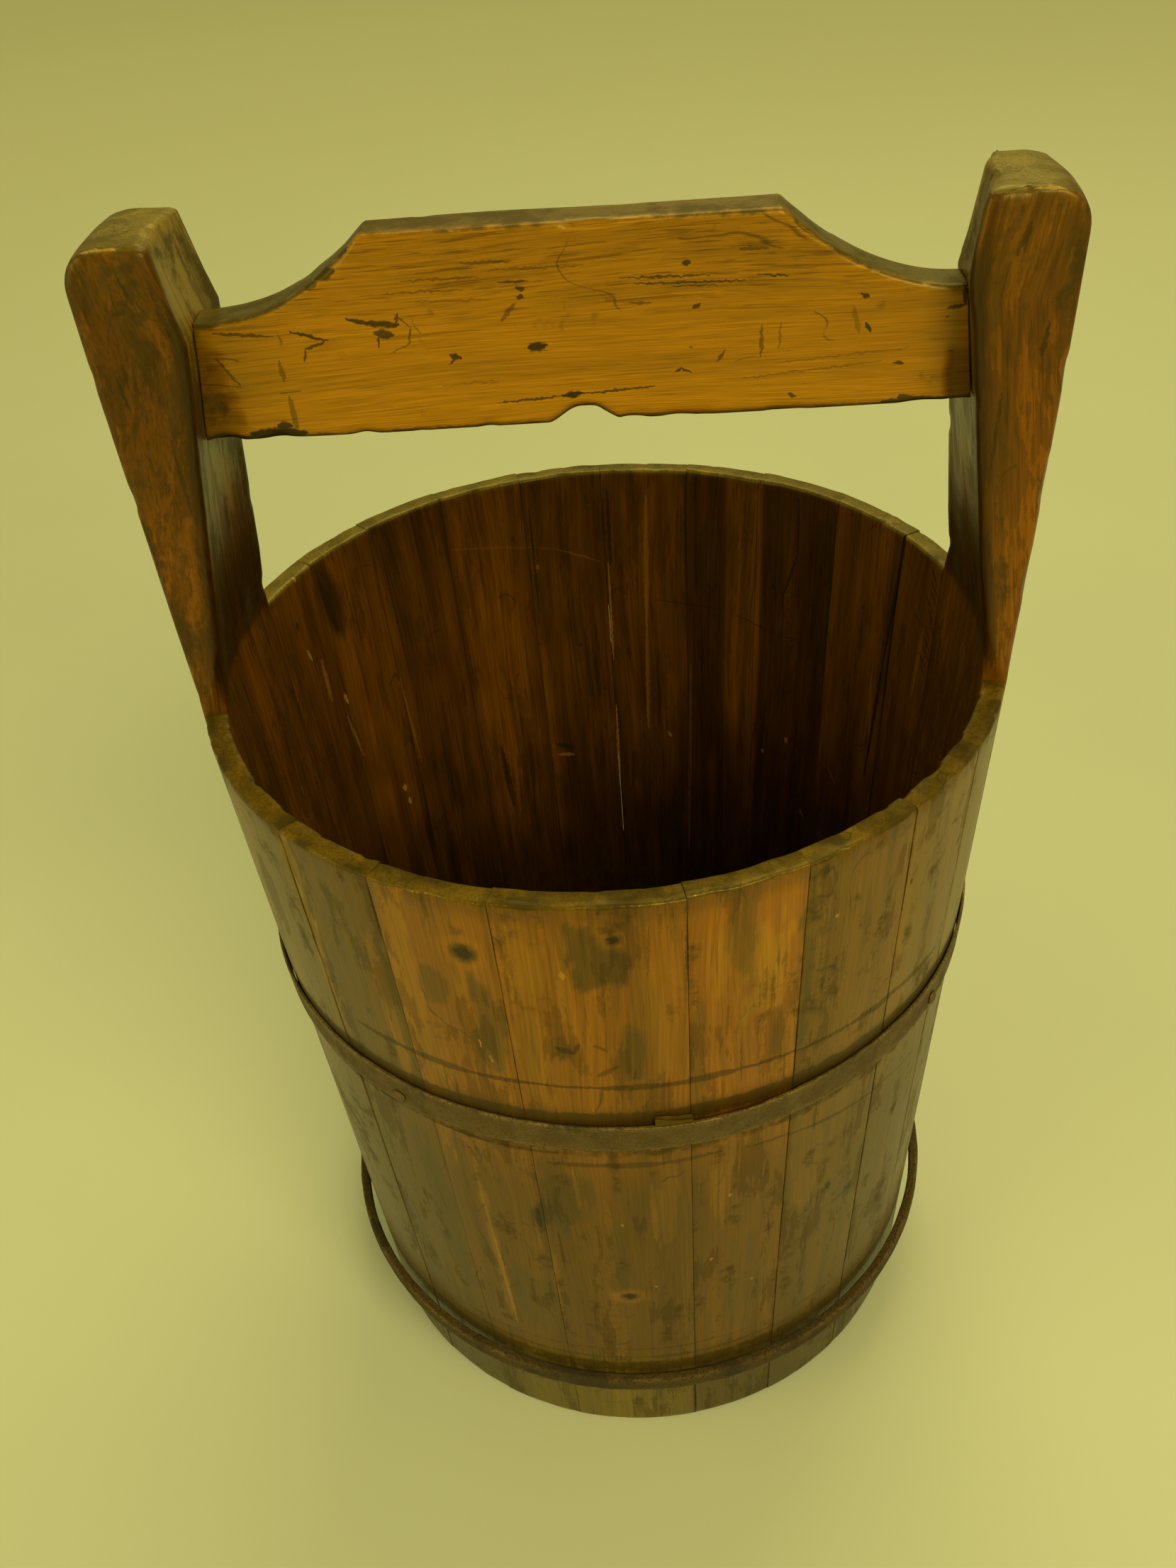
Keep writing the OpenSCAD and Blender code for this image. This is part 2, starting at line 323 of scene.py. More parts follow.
# %% [markdown]
# ### Blotches, nicks, hairs and dirt
#
# Old oil and varnish wear off in patches with crisp, fringed edges, and years of carrying leave short dark
# nicks and hair-thin scratches. All come from thresholds: noise for the patches, the cells of a Voronoi
# texture for the nicks, and the level lines of a slow noise for the hairs. Dirt, and the painted shadow
# that shares its layer, gathers where a layer of the mesh says so, broken up by noise.

# %% Blotch, nick, hair and dirt groups
blotch_group, given, wanted = start_group(
    "Blotches",
    {"Grain": ("Vector", None), "Spacing": ("Float", 30.0), "Cover": ("Float", 0.5),
     "Edge": ("Float", 0.02)},
    {"Mask": "Float"},
)
patch = noise(blotch_group, stretch(blotch_group, given["Grain"], (1, 1, 0.3)), given["Spacing"], 6.0, 0.66)
fringe = noise(blotch_group, stretch(blotch_group, given["Grain"], (1, 1, 0.04)), 700.0, 1.0)
patch = calc(blotch_group, "MULTIPLY_ADD", fringe, 0.16, calc(blotch_group, "SUBTRACT", patch, 0.08))
level = calc(blotch_group, "SUBTRACT", 1.0, given["Cover"])
low = calc(blotch_group, "SUBTRACT", level, given["Edge"])
blotch_group.links.new(ramp(blotch_group, patch, low, calc(blotch_group, "ADD", level, given["Edge"])),
                       wanted["Mask"])

nick_group, given, wanted = start_group(
    "Nicks",
    {"Grain": ("Vector", None), "Spacing": ("Float", 90.0), "Share": ("Float", 0.2)},
    {"Mask": "Float"},
)
ragged = noise(nick_group, given["Grain"], 900.0, 1.0)
torn = jog(nick_group, given["Grain"], ragged, 0.0025)
cells = add(nick_group, "ShaderNodeTexVoronoi",
            {"Vector": stretch(nick_group, torn, (1, 1, 0.55)), "Scale": given["Spacing"]})
lot = add(nick_group, "ShaderNodeSeparateColor", {"Color": cells.outputs["Color"]}).outputs
size = calc(nick_group, "MULTIPLY_ADD", lot[1], 0.12, 0.025)
spot = calc(nick_group, "SUBTRACT", 1.0, ramp(nick_group, cells.outputs["Distance"], 0.0, size))
kept = calc(nick_group, "LESS_THAN", lot[0], given["Share"])
spot = calc(nick_group, "POWER", spot, 0.4)
nick_group.links.new(calc(nick_group, "MULTIPLY", spot, kept), wanted["Mask"])

hair_group, given, wanted = start_group(
    "Hairs", {"Grain": ("Vector", None), "Spacing": ("Float", 30.0)}, {"Mask": "Float"}
)
slow = noise(hair_group, stretch(hair_group, given["Grain"], (1, 1, 0.45)), given["Spacing"], 2.0, 0.4)
level = calc(hair_group, "ABSOLUTE", calc(hair_group, "SUBTRACT", slow, 0.5))
line = calc(hair_group, "SUBTRACT", 1.0, ramp(hair_group, level, 0.0, 0.006))
here = ramp(hair_group, noise(hair_group, given["Grain"], 55.0, 1.0), 0.54, 0.6)
hair_group.links.new(calc(hair_group, "MULTIPLY", line, here), wanted["Mask"])

dirt_group, given, wanted = start_group(
    "Dirt",
    {"Grain": ("Vector", None), "Amount": ("Float", 0.0), "Spacing": ("Float", 120.0)},
    {"Mask": "Float"},
)
crumbs = noise(dirt_group, given["Grain"], given["Spacing"], 5.0, 0.68)
need = calc(dirt_group, "SUBTRACT", 1.05, given["Amount"])
low, high = calc(dirt_group, "SUBTRACT", need, 0.22), calc(dirt_group, "ADD", need, 0.08)
dirt_group.links.new(ramp(dirt_group, crumbs, low, high), wanted["Mask"])

# %% [markdown]
# ### Strokes
#
# Cracks, knots, dents and the lines that an old band left are at known places, so they aren't left to
# chance. Each is a stroke: a straight run from one place to another, widest in the middle. The mesh layer
# `spot` unrolls every face flat, so a stroke is given by two places on the face and a width. Painting them
# on the mesh would need a far finer lattice, while a shader draws them sharp at any distance. Each stroke
# takes the one before it and adds a hair of it to its own place. That changes nothing to see, but it makes
# the renderer work through a long list in order, which keeps the shader small enough to run.

# %% Stroke group
stroke_group, given, wanted = start_group(
    "Stroke",
    {"Before": ("Float", 0.0), "Spot": ("Vector", None), "Start": ("Vector", None), "End": ("Vector", None),
     "Width": ("Float", 0.001), "Strength": ("Float", 1.0)},
    {"Mask": "Float"},
)

run = vector_math(stroke_group, "SUBTRACT", given["End"], given["Start"])
tiny = vector_math(stroke_group, "MULTIPLY", given["Before"], (1e-8, 1e-8, 1e-8))
after = vector_math(stroke_group, "ADD", given["Spot"], tiny)
from_start = vector_math(stroke_group, "SUBTRACT", after, given["Start"])
along = calc(stroke_group, "DIVIDE", vector_math(stroke_group, "DOT_PRODUCT", from_start, run, "Value"),
             vector_math(stroke_group, "DOT_PRODUCT", run, run, "Value"), clamp=True)
reached = add(stroke_group, "ShaderNodeVectorMath", {0: run, "Scale": along}, operation="SCALE")
away = vector_math(stroke_group, "SUBTRACT", from_start, reached.outputs[0])
away = vector_math(stroke_group, "LENGTH", away, None, "Value")
swell = calc(stroke_group, "MULTIPLY", along, calc(stroke_group, "SUBTRACT", 1.0, along))
half = calc(stroke_group, "MULTIPLY", given["Width"], calc(stroke_group, "MULTIPLY_ADD", swell, 1.4, 0.2))
core, rim = calc(stroke_group, "MULTIPLY", half, 0.6), calc(stroke_group, "MULTIPLY", half, 1.3)
inside = ramp(stroke_group, away, core, rim)
mark = calc(stroke_group, "MULTIPLY", calc(stroke_group, "SUBTRACT", 1.0, inside), given["Strength"])
stroke_group.links.new(calc(stroke_group, "MAXIMUM", given["Before"], mark), wanted["Mask"])


def draw(tree, spot, strokes):
    """The darkest of a list of strokes: x, z to x, z and width, in mm, strength and, if not 0, depth."""
    total = 0.0
    for x0, z0, x1, z1, wide, strength, *depth in strokes:
        deep = depth[0] * MM if depth else 0
        ends = {"Start": (x0 * MM, deep, z0 * MM), "End": (x1 * MM + 1e-6, deep, z1 * MM)}
        total = place(tree, stroke_group, Before=total, Spot=spot, Width=wide * MM, Strength=strength,
                      **ends)["Mask"]
    return total


print("groups:", [g.name for g in bpy.data.node_groups])

# %% [markdown]
# ### Oiled wood
#
# The mesh carries layers of paint: `stain`, the average colour at each point, a layer for edges rubbed
# pale that also carries painted highlight lines on lit arrises, a layer for dirt that also carries painted
# shadow in crevices, and `figure`, how strongly the grain shows. The material multiplies grain over the
# stain, then lays dark patches, pale flakes, nicks, wear with its painted highlights, dirt with its painted
# shadow, and strokes on top, in the order in which the real marks came to the wood. Reflections are tinted
# warm, because old oil and varnish swallow the blue.

# %% Wood material
# how deep the grain's bump is, and the colour of what old varnish reflects
WOOD_RELIEF = 0.25 * MM
VARNISH_TINT = (1.0, 0.9, 0.3, 1)


def wood(name, bands, blotch, streaks=210.0, fibres=800.0, nicks=0.15, nick_step=90.0, gloss=0.34, coat=0.15,
         strokes=(), pale=(), faded=(0.5, 0.5, 0.5), swing=0.16):
    """Old oiled wood. blotch is spacing, cover and strength of dark patches, faded their colour, and swing
    how far the broad bands differ."""
    made, tree, skin = start_material(name)
    layer = read_layers(tree, "grain", "spot", "stain", "worn", "dirt", "figure")
    grain = layer["grain"]["Vector"]
    figure = layer["figure"]["Fac"]
    lines = place(tree, grain_group, Grain=grain, Bands=bands, Streaks=streaks, Fibres=fibres)
    patches = place(tree, blotch_group, Grain=grain, Spacing=blotch[0], Cover=blotch[1], Edge=0.016)["Mask"]
    shifted = vector_math(tree, "ADD", grain, (1.3, 2.1, 3.7))
    flakes = place(tree, blotch_group, Grain=shifted, Spacing=blotch[0] * 2.6, Cover=0.3)["Mask"]
    nick = place(tree, nick_group, Grain=grain, Spacing=nick_step, Share=nicks)["Mask"]
    elsewhere = vector_math(tree, "ADD", grain, (3, 5, 7))
    chalk = place(tree, nick_group, Grain=elsewhere, Spacing=60.0, Share=0.05)["Mask"]
    hairs = place(tree, hair_group, Grain=grain)["Mask"]
    dirt_and_shade_spots = place(tree, dirt_group, Grain=grain, Amount=layer["dirt"]["Fac"])["Mask"]
    jitter = add(tree, "ShaderNodeTexNoise", {"Vector": grain, "Scale": 500.0, "Detail": 1.0})
    jitter = vector_math(tree, "SUBTRACT", jitter.outputs["Color"], (0.5, 0.5, 0.5))
    jitter = stretch(tree, jitter, (0.0018, 0.0, 0.0018))
    spot = vector_math(tree, "ADD", layer["spot"]["Vector"], jitter)

    def tinted(under, tint):
        return mix(tree, 1.0, under, tint, "MULTIPLY")

    light_bands = mix(tree, lines["Band"], (0.9 - swing, 1 - swing, 0.5), (0.9 + swing, 1 + swing, 0.6))
    colour = tinted(layer["stain"]["Color"], light_bands)
    streaky = calc(tree, "MULTIPLY", lines["Streak"], figure)
    colour = cover(tree, colour, streaky, 0.8, tinted(colour, (0.52, 0.49, 0.42)))
    colour = tinted(colour, mix(tree, lines["Fibre"], (0.74, 0.72, 0.68), (1.18, 1.16, 1.1)))
    colour = cover(tree, colour, patches, blotch[2], tinted(colour, faded))
    colour = cover(tree, colour, flakes, 0.7, tinted(colour, (1.26, 1.24, 1.1)))
    colour = cover(tree, colour, calc(tree, "MULTIPLY", lines["Pore"], figure), 0.5, tone(44, 24, 4))
    colour = cover(tree, colour, hairs, 0.65, tone(40, 26, 8))
    colour = cover(tree, colour, nick, 0.8, tone(30, 20, 6))
    colour = cover(tree, colour, chalk, 0.35, tone(176, 150, 84))
    # pale rubbed wood, and along lit arrises a painted highlight line
    rubbed = noise(tree, grain, 500.0, 5.0, 0.65)
    rubbed_and_glint = ramp(tree, calc(tree, "MULTIPLY_ADD", rubbed, 0.9, layer["worn"]["Fac"]), 0.94, 1.04)
    colour = cover(tree, colour, rubbed_and_glint, 0.6, tone(168, 134, 80))
    # dark dirt, and painted shadow in the crevices along the bands and in the bar's end facets
    colour = cover(tree, colour, dirt_and_shade_spots, 0.8, tone(46, 33, 9))
    # pale scrapes and streaks, and on the staves painted light down an open joint
    if pale:
        colour = cover(tree, colour, draw(tree, spot, pale), 0.7, tone(166, 118, 40))
    cuts = draw(tree, spot, strokes)
    colour = mix(tree, cuts, colour, tone(24, 14, 3))
    tree.links.new(colour, skin["Base Color"])

    matt = calc(tree, "MULTIPLY_ADD", dirt_and_shade_spots, 0.3, gloss)
    matt = calc(tree, "MULTIPLY_ADD", patches, 0.12, matt)
    matt = calc(tree, "MULTIPLY_ADD", lines["Fibre"], 0.12, matt)
    tree.links.new(calc(tree, "MULTIPLY_ADD", cuts, 0.2, matt, clamp=True), skin["Roughness"])
    skin["Coat Weight"].default_value = coat
    skin["Coat Roughness"].default_value = 0.2
    skin["Specular IOR Level"].default_value = 0.35
    skin["Specular Tint"].default_value = VARNISH_TINT
    height = calc(tree, "MULTIPLY_ADD", lines["Band"], 0.5, calc(tree, "MULTIPLY", lines["Fibre"], 0.4))
    height = calc(tree, "MULTIPLY_ADD", lines["Streak"], -0.3, height)
    height = calc(tree, "MULTIPLY_ADD", nick, -1.2, height)
    bump = add(tree, "ShaderNodeBump", {"Strength": 0.7, "Distance": WOOD_RELIEF, "Height": height})
    tree.links.new(bump.outputs[0], skin["Normal"])
    return made


# %% [markdown]
# ### Where the strokes are
#
# On the bar, x runs along it from its middle and z is height. On the staves, x is the distance round the
# rim circle from the right ear, so directions in degrees are turned into millimetres by `round_rim`. On an
# ear, x runs across it. Every stroke is x, z to x, z, then its width and its strength. A stroke on the
# inner face of a stave has a seventh number, its depth from the outer face.

# %% Strokes on the bar
BAR_STROKES = [
    (-84, 531.5, -76, 529.3, 1.6, 0.9), (-77, 529.5, -65, 528, 2.6, 0.9), (-66, 528, -65, 532.5, 1.2, 0.8),
    (-74, 525.5, -68, 524.5, 3.4, 0.85), (-73, 525, -73.5, 520, 0.8, 0.8), (-66, 532, -60.8, 527, 0.8, 0.6),
    (-60.8, 527, -62, 521, 0.8, 0.6), (-62, 521, -69, 517.5, 0.7, 0.5), (-60, 530, -57.5, 524, 0.6, 0.4),
    (-105.5, 528, -92, 523.7, 1.3, 0.9), (-92.5, 523.5, -101, 521, 1.1, 0.8),
    (-101, 521, -102, 516, 1.0, 0.8), (-47.5, 515.5, -44, 514, 2.4, 0.9),
    (-48, 512.5, -45, 514.5, 1.0, 0.8), (-18, 516.7, -11.8, 517, 3.6, 0.95),
    (-18.4, 517.8, -12, 518.4, 0.8, 0.5), (-18.2, 515.2, -11.5, 515.2, 0.8, 0.5),
    (-32, 495.8, -6, 497.2, 0.8, 0.8), (-7, 497.2, 0, 497.7, 2.4, 0.95), (-1, 497.4, 28, 498.8, 1.0, 0.8),
    (-27, 541.6, -16, 541, 0.9, 0.8), (-21, 539, -18, 538.5, 1.8, 0.85),
    (-20.5, 536, -18.5, 535.6, 2.0, 0.85), (-27.5, 527, -21.5, 533.5, 1.8, 0.55),
    (17, 540.2, 49, 539.2, 0.8, 0.8), (22, 537.8, 62, 536.4, 0.9, 0.8), (35, 536.2, 52, 535.4, 0.7, 0.7),
    (66, 538, 77, 537.3, 0.8, 0.8), (39.5, 544, 42, 544, 2.2, 0.9), (43, 527.5, 45.5, 529.2, 1.6, 0.85),
    (103.5, 529, 106.5, 527.6, 1.6, 0.9), (105.5, 518.5, 107.5, 515, 1.3, 0.9),
    (116.5, 502.6, 120, 502.2, 1.3, 0.85), (35.5, 504, 38, 505.3, 1.0, 0.85),
    (38, 505.2, 41.5, 503.4, 1.0, 0.85), (67.7, 520, 67.5, 508, 1.3, 0.6), (74.5, 520, 74.2, 511, 1.0, 0.4),
    (51.3, 507.2, 54, 511, 1.4, 0.7), (77.5, 493, 80.5, 491.2, 1.3, 0.8),
    (-128, 489, -107, 488.3, 4.4, 0.95), (-117, 491.5, -112, 491.5, 3.6, 0.9),
    (-141, 487.3, -124, 487.4, 2.4, 0.8), (113, 487.6, 137, 487.4, 2.4, 0.85),
    (119, 489, 124, 488.4, 2.6, 0.8), (-88, 553.5, -80, 556, 3.4, 0.8), (-93, 547, -86, 549, 4.4, 0.85),
    (-97, 543, -92, 545.5, 2.0, 0.7), (140.4, 531, 140.8, 523, 1.8, 0.9),
    (140.6, 523, 134.5, 521.6, 1.4, 0.85), (-111.8, 517, -111, 509, 2.0, 0.5),
    (-110.5, 503, -110, 489, 2.2, 0.5), (19.5, 531, 28, 530.4, 1.0, 0.6), (-5, 490.6, 14, 487.6, 1.0, 0.7),
    (-134, 529, -112, 526.5, 1.2, 0.7), (-135, 519, -128, 508, 1.2, 0.6), (101, 524, 103, 515, 2.2, 0.35),
    (-40, 549, -22, 548.6, 1.2, 0.6), (-62, 544, -34, 543.6, 0.8, 0.5), (-70, 540, -40, 539.4, 0.8, 0.5),
    (-30, 546, 4, 545.4, 0.8, 0.45), (-58, 536, -30, 535.4, 0.7, 0.4), (60, 548, 70, 547.6, 1.6, 0.6),
    (-52, 504, -30, 504.6, 0.7, 0.4), (60, 500, 112, 503.5, 0.8, 0.4), (72, 505, 122, 508, 0.7, 0.35),
]
print("strokes on the bar:", len(BAR_STROKES))

# %% Strokes on the staves and the ears
# direction, height in mm, half width and half height in mm
KNOTS = [(-107.2, 354.5, 5.6, 5.0), (-90.5, 124, 5.0, 3.4), (-88.4, 366, 3.4, 2.8)]
INSIDE = stave_t / MM


def round_rim(degrees):
    """Distance round the rim circle for a direction, in mm."""
    return math.radians(degrees) * rim_r / MM


def band_line(first, last, level, end_level, wide, strength):
    """The line that an old band left, in runs of about ten degrees that follow the wall."""
    count = max(1, round(abs(last - first) / 9))
    turns = [first + (last - first) * n / count for n in range(count + 1)]
    rises = [level + (end_level - level) * n / count for n in range(count + 1)]
    bends = [0.5 * math.sin(n * 2.3) for n in range(count + 1)]
    runs = []
    for n in range(count):
        start = (round_rim(turns[n]) - 3, rises[n] + bends[n])
        stop = (round_rim(turns[n + 1]) + 3, rises[n + 1] + bends[n + 1])
        runs.append((*start, *stop, wide * (0.8 + 0.35 * math.sin(n * 1.7)), strength))
    return runs


def on_wall(rows, *depth):
    """Strokes from rows of direction, height, how far each changes, width and strength."""
    made = []
    for turn, level, run_turn, run_level, wide, strength in rows:
        end = (round_rim(turn + run_turn), level + run_level)
        made.append((round_rim(turn), level, *end, wide, strength, *depth))
    return made


STAVE_STROKES = [
    *band_line(-129, -35, 283.5, 279, 3.6, 0.62), *band_line(-150, -100, 238, 236, 2.0, 0.5),
    *band_line(-100, -76, 229, 229, 3.6, 0.5), *band_line(-70, -34, 227, 214, 2.0, 0.5),
    *band_line(-125, -60, 66, 66, 2.4, 0.4), *band_line(-128, -50, 74.5, 74, 1.0, 0.45),
]
for turn, level, wide, tall in KNOTS:
    left, right = round_rim(turn) - 0.45 * wide, round_rim(turn) + 0.45 * wide
    STAVE_STROKES.append((left, level + 0.5, right, level - 0.5, tall * 1.3, 0.75))
STAVE_STROKES += on_wall([
    (-46.0, 343, 0.5, 0.4, 3.4, 0.8), (-103.9, 192, 0.1, -14, 3.0, 0.8), (-50.4, 155, 1.0, -2, 6.5, 0.45),
    (-55.0, 170, 0.2, -5, 3.6, 0.7), (-101.0, 176, 0.1, -30, 1.6, 0.5), (-92.0, 289, 3.0, 6, 2.6, 0.5),
    (-97.0, 306, 2.4, -3, 3.2, 0.6), (-94.6, 304, 0.8, 5, 2.0, 0.6), (-90.4, 305, -1.6, 3, 1.8, 0.5),
    (-79.6, 340, 0.0, 30, 1.0, 0.6), (-119.2, 350, 0.1, 33, 1.4, 0.8), (-84.5, 345, 0.4, 26, 0.8, 0.4),
    (-118.4, 120, -1.2, -10, 1.0, 0.6), (-122.4, 178, 0.6, -14, 0.9, 0.5), (-66.6, 168, 0.5, -20, 0.9, 0.5),
    (-126.5, 170, 0.4, -12, 1.2, 0.5), (-72.4, 300, 0.3, -26, 0.8, 0.5), (-57.0, 250, 1.2, 4, 1.4, 0.4),
    (-79.7, 0, 0.0, 42, 1.4, 0.95), (-43.9, 8, 0.0, 26, 1.4, 0.9), (-136.3, 6, 0.0, 30, 1.4, 0.9),
    (-112.0, 28, 3.0, 3, 0.8, 0.5), (-98.0, 18, 5.0, 1, 0.8, 0.5), (-88.0, 33, 6.0, -1, 0.8, 0.5),
])
STAVE_STROKES += on_wall([
    (52.5, 378, -0.6, -30, 1.6, 0.9), (51.9, 348, 2.7, -27, 1.6, 0.85), (27.6, 382, 1.6, -68, 2.6, 0.95),
    (29.2, 316, 1.6, -77, 2.4, 0.9), (116.9, 226, -1.0, -42, 4.2, 0.8), (104.2, 218, -3.6, -4, 3.2, 0.9),
    (81.5, 307, -13.4, -2, 0.9, 0.6), (64.6, 303, -8.3, -5, 0.9, 0.6), (56.3, 298, -7.0, -1, 0.8, 0.5),
    (104.6, 366, 0.2, -60, 1.6, 0.7), (135.0, 372, -0.7, -80, 1.4, 0.6), (74.9, 374, 0.0, -60, 1.2, 0.7),
    (44.4, 372, -0.2, -90, 1.2, 0.7), (89.6, 372, 0.2, -44, 2.0, 0.85), (150.0, 372, -1.6, -30, 4.6, 0.7),
], INSIDE)
for notch in range(11):
    start = (round_rim(16.6 + 0.6 * math.sin(notch * 2.1)), 322 + 5 * notch)
    STAVE_STROKES.append((*start, start[0] + 6 + 2 * math.sin(notch), start[1] + 5, 1.5, 0.7, INSIDE))
# pale scrapes and sapwood streaks, and two lines of painted light down an open joint
PALE_STAVE_MARKS = on_wall([
    (82.3, 368, 0.9, -78, 2.6, 0.42), (83.1, 296, 0.6, -72, 2.2, 0.36), (74.1, 268, 0.9, -130, 2.0, 0.18),
    (154.4, 334, 0.2, -24, 2.6, 0.36), (151.7, 296, -1.6, -28, 1.8, 0.3), (157.4, 345, -0.6, -7, 1.6, 0.8),
    (151.1, 309, -0.5, -7, 1.7, 0.9), (141.6, 234, 0, -4, 2.6, 0.9), (141.1, 224, 0, -4, 2.6, 0.9),
    (155.5, 384, 0, -4, 2.4, 0.9), (79.2, 222, -0.6, -3, 1.8, 0.7), (52.1, 235, 0, -3, 2.2, 0.8),
    (57.6, 222, 0, -2, 2.2, 0.8), (41, 229, -2.6, -8, 1.0, 0.4), (47.5, 191, -1, -4, 2.4, 0.4),
    (104.2, 211, -3.6, -2, 2.2, 0.45), (120.7, 354, -20.2, -13, 1.0, 0.25),
    # the strokes at 90.5 and 90.2 degrees are painted light showing through the open joint there
    (100.5, 341, -8.8, -10, 1.0, 0.3), (103.9, 333, 0.6, -2, 2.6, 0.5), (90.5, 240, 0.3, -58, 1.4, 0.8),
    (90.2, 330, 0.2, -60, 1.3, 0.7), (32, 300, -1.4, -40, 2.4, 0.25), (19.5, 346, 0.4, -40, 2.2, 0.25),
    (137, 300, -1, -60, 1.4, 0.25),
], INSIDE)
PALE_STAVE_MARKS += on_wall([
    (-113.4, 214, 0.4, -60, 1.6, 0.3), (-113.0, 160, 0.6, -78, 2.0, 0.5), (-102.9, 149, 0.2, -40, 1.4, 0.3),
    (-104.6, 182, 0.2, -26, 1.4, 0.2), (-109.5, 300, 0.3, -30, 1.8, 0.25),
    (-101.0, 372, 0.3, -40, 2.2, 0.25), (-95.6, 345, 0.3, -36, 2.0, 0.25),
    (-70.6, 372, 0.3, -60, 3.0, 0.25), (-81.4, 362, 0.2, -44, 2.0, 0.22),
    (-97.2, 226, 0.2, -30, 1.8, 0.2), (-85.6, 214, 0.2, -44, 2.4, 0.2), (-74.8, 222, 0.2, -52, 2.4, 0.22),
])
for turn, level, tall, wide in (
    (-95, 349, 3.2, 2.2), (-107.6, 305, 5, 1.0), (-106.4, 296, 4, 0.9), (-59.4, 351, 1.5, 1.8),
    (-90.6, 185, 2, 1.6), (-73.5, 196, 2, 1.5), (-76.5, 148, 1.5, 1.8), (-86.0, 132, 1.2, 1.2),
    (-69.0, 120, 1.2, 1.2),
):
    PALE_STAVE_MARKS.append((round_rim(turn), level, round_rim(turn) + 0.3, level - tall, wide, 1.0))
EAR_STROKES = [
    (18, 552, 22, 520, 1.2, 0.8), (22, 520, 19, 500, 0.8, 0.6), (-9, 522, -7, 510, 1.6, 0.7),
    (6, 498, 8, 470, 1.4, 0.6), (-12, 470, -10, 450, 1.2, 0.5), (12, 440, 11, 415, 1.6, 0.6),
    (-20, 430, -18, 400, 1.0, 0.5), (3, 556, 6, 545, 1.6, 0.6),
]
print("strokes:", len(STAVE_STROKES), "dark and", len(PALE_STAVE_MARKS), "pale on the staves,", len(EAR_STROKES),
      "on the ears")

# %% [markdown]
# ### The woods
#
# At every point a renderer works through all the strokes that its material holds. So each stave has a wood
# of its own with only the strokes that cross it, made from its two joints' directions. One wood for all the
# staves would look the same and take several times as long.

# %% Woods for the staves, ears, bar and boards
# how far outside a stave a stroke may end and still be drawn, in mm
REACH = 6


def stave_wood(name, start, stop):
    """Wood for one stave, between two directions in radians, with the strokes that cross it."""
    first, last = start * rim_r / MM - REACH, stop * rim_r / MM + REACH

    def near(rows):
        return [row for row in rows if max(row[0], row[2]) > first and min(row[0], row[2]) < last]

    return wood(name, bands=60, blotch=(58.0, 0.44, 0.8), nicks=0.2, strokes=near(STAVE_STROKES),
                pale=near(PALE_STAVE_MARKS), faded=(0.62, 0.6, 0.55))


ear_wood = wood("oiled_ears", bands=85, blotch=(68.0, 0.5, 0.9), nicks=0.2, nick_step=120,
                strokes=EAR_STROKES, faded=(0.58, 0.57, 0.6), coat=0.15)
bar_wood = wood("varnished_bar", bands=150, streaks=480, fibres=1400, blotch=(24.0, 0.36, 0.3), nicks=0.14,
                nick_step=150, gloss=0.32, coat=0.2, strokes=BAR_STROKES, swing=0.09)
board_wood = wood("bottom_boards", bands=60, blotch=(30.0, 0.4, 0.5), gloss=0.5, coat=0.0)
print("woods:", [m.name for m in bpy.data.materials])

# %% [markdown]
# ### Old iron
#
# The bands are wrought strip, brown with age and rubbed by hands and floors. Clean iron is metallic, and
# rust isn't, so one rust mask drives the colour, the metal and the roughness together.

# %% Iron material
# old iron is never bright, so even its rubbed places are only partly metallic
BARE_METAL = 0.55


def iron(name, steel, rust, share, spacing, relief, gloss=0.42, spread=0.4):
    """Aged iron: steel where it is rubbed, rust elsewhere. On the heavy ring's edges the pale steel is
    partly a painted highlight. share is what lies under rust, and spread is how far the rust's shades
    differ.
    relief is in mm."""
    made, tree, skin = start_material(name)
    layer = read_layers(tree, "grain", "worn", "dirt")
    grain = layer["grain"]["Vector"]
    coarse = noise(tree, grain, spacing, 6.0, 0.65)
    fine = noise(tree, grain, spacing * 9, 4.0, 0.7)
    rusted = ramp(tree, coarse, 1 - share - 0.2, 1 - share + 0.15)
    rubbed_and_glint = calc(tree, "MULTIPLY", layer["worn"]["Fac"], ramp(tree, fine, 0.38, 0.58))
    rusted = calc(tree, "SUBTRACT", rusted, rubbed_and_glint, clamp=True)
    dirt_and_shade_spots = place(tree, dirt_group, Grain=grain, Amount=layer["dirt"]["Fac"], Spacing=160.0)
    grit = ramp(tree, fine, 0.3, 0.7)
    colour = mix(tree, rusted, mix(tree, grit, steel * 0.7, steel * 1.25),
                 mix(tree, grit, rust * (1 - spread), rust * (1 + spread)))
    # pale rubbed steel, which on the heavy ring's edges is partly a painted highlight
    colour = cover(tree, colour, rubbed_and_glint, 0.7, tone(150, 132, 98))
    colour = cover(tree, colour, dirt_and_shade_spots["Mask"], 0.8, tone(38, 28, 14))
    tree.links.new(colour, skin["Base Color"])
    shine = calc(tree, "MULTIPLY", calc(tree, "SUBTRACT", 1.0, rusted), BARE_METAL)
    tree.links.new(shine, skin["Metallic"])
    matt = calc(tree, "MULTIPLY_ADD", rusted, 0.3, gloss)
    tree.links.new(calc(tree, "MULTIPLY_ADD", fine, 0.15, matt, clamp=True), skin["Roughness"])
    height = calc(tree, "MULTIPLY_ADD", coarse, 1.0, calc(tree, "MULTIPLY", fine, 0.6))
    bump = add(tree, "ShaderNodeBump", {"Strength": 0.8, "Distance": relief * MM, "Height": height})
    tree.links.new(bump.outputs[0], skin["Normal"])
    return made


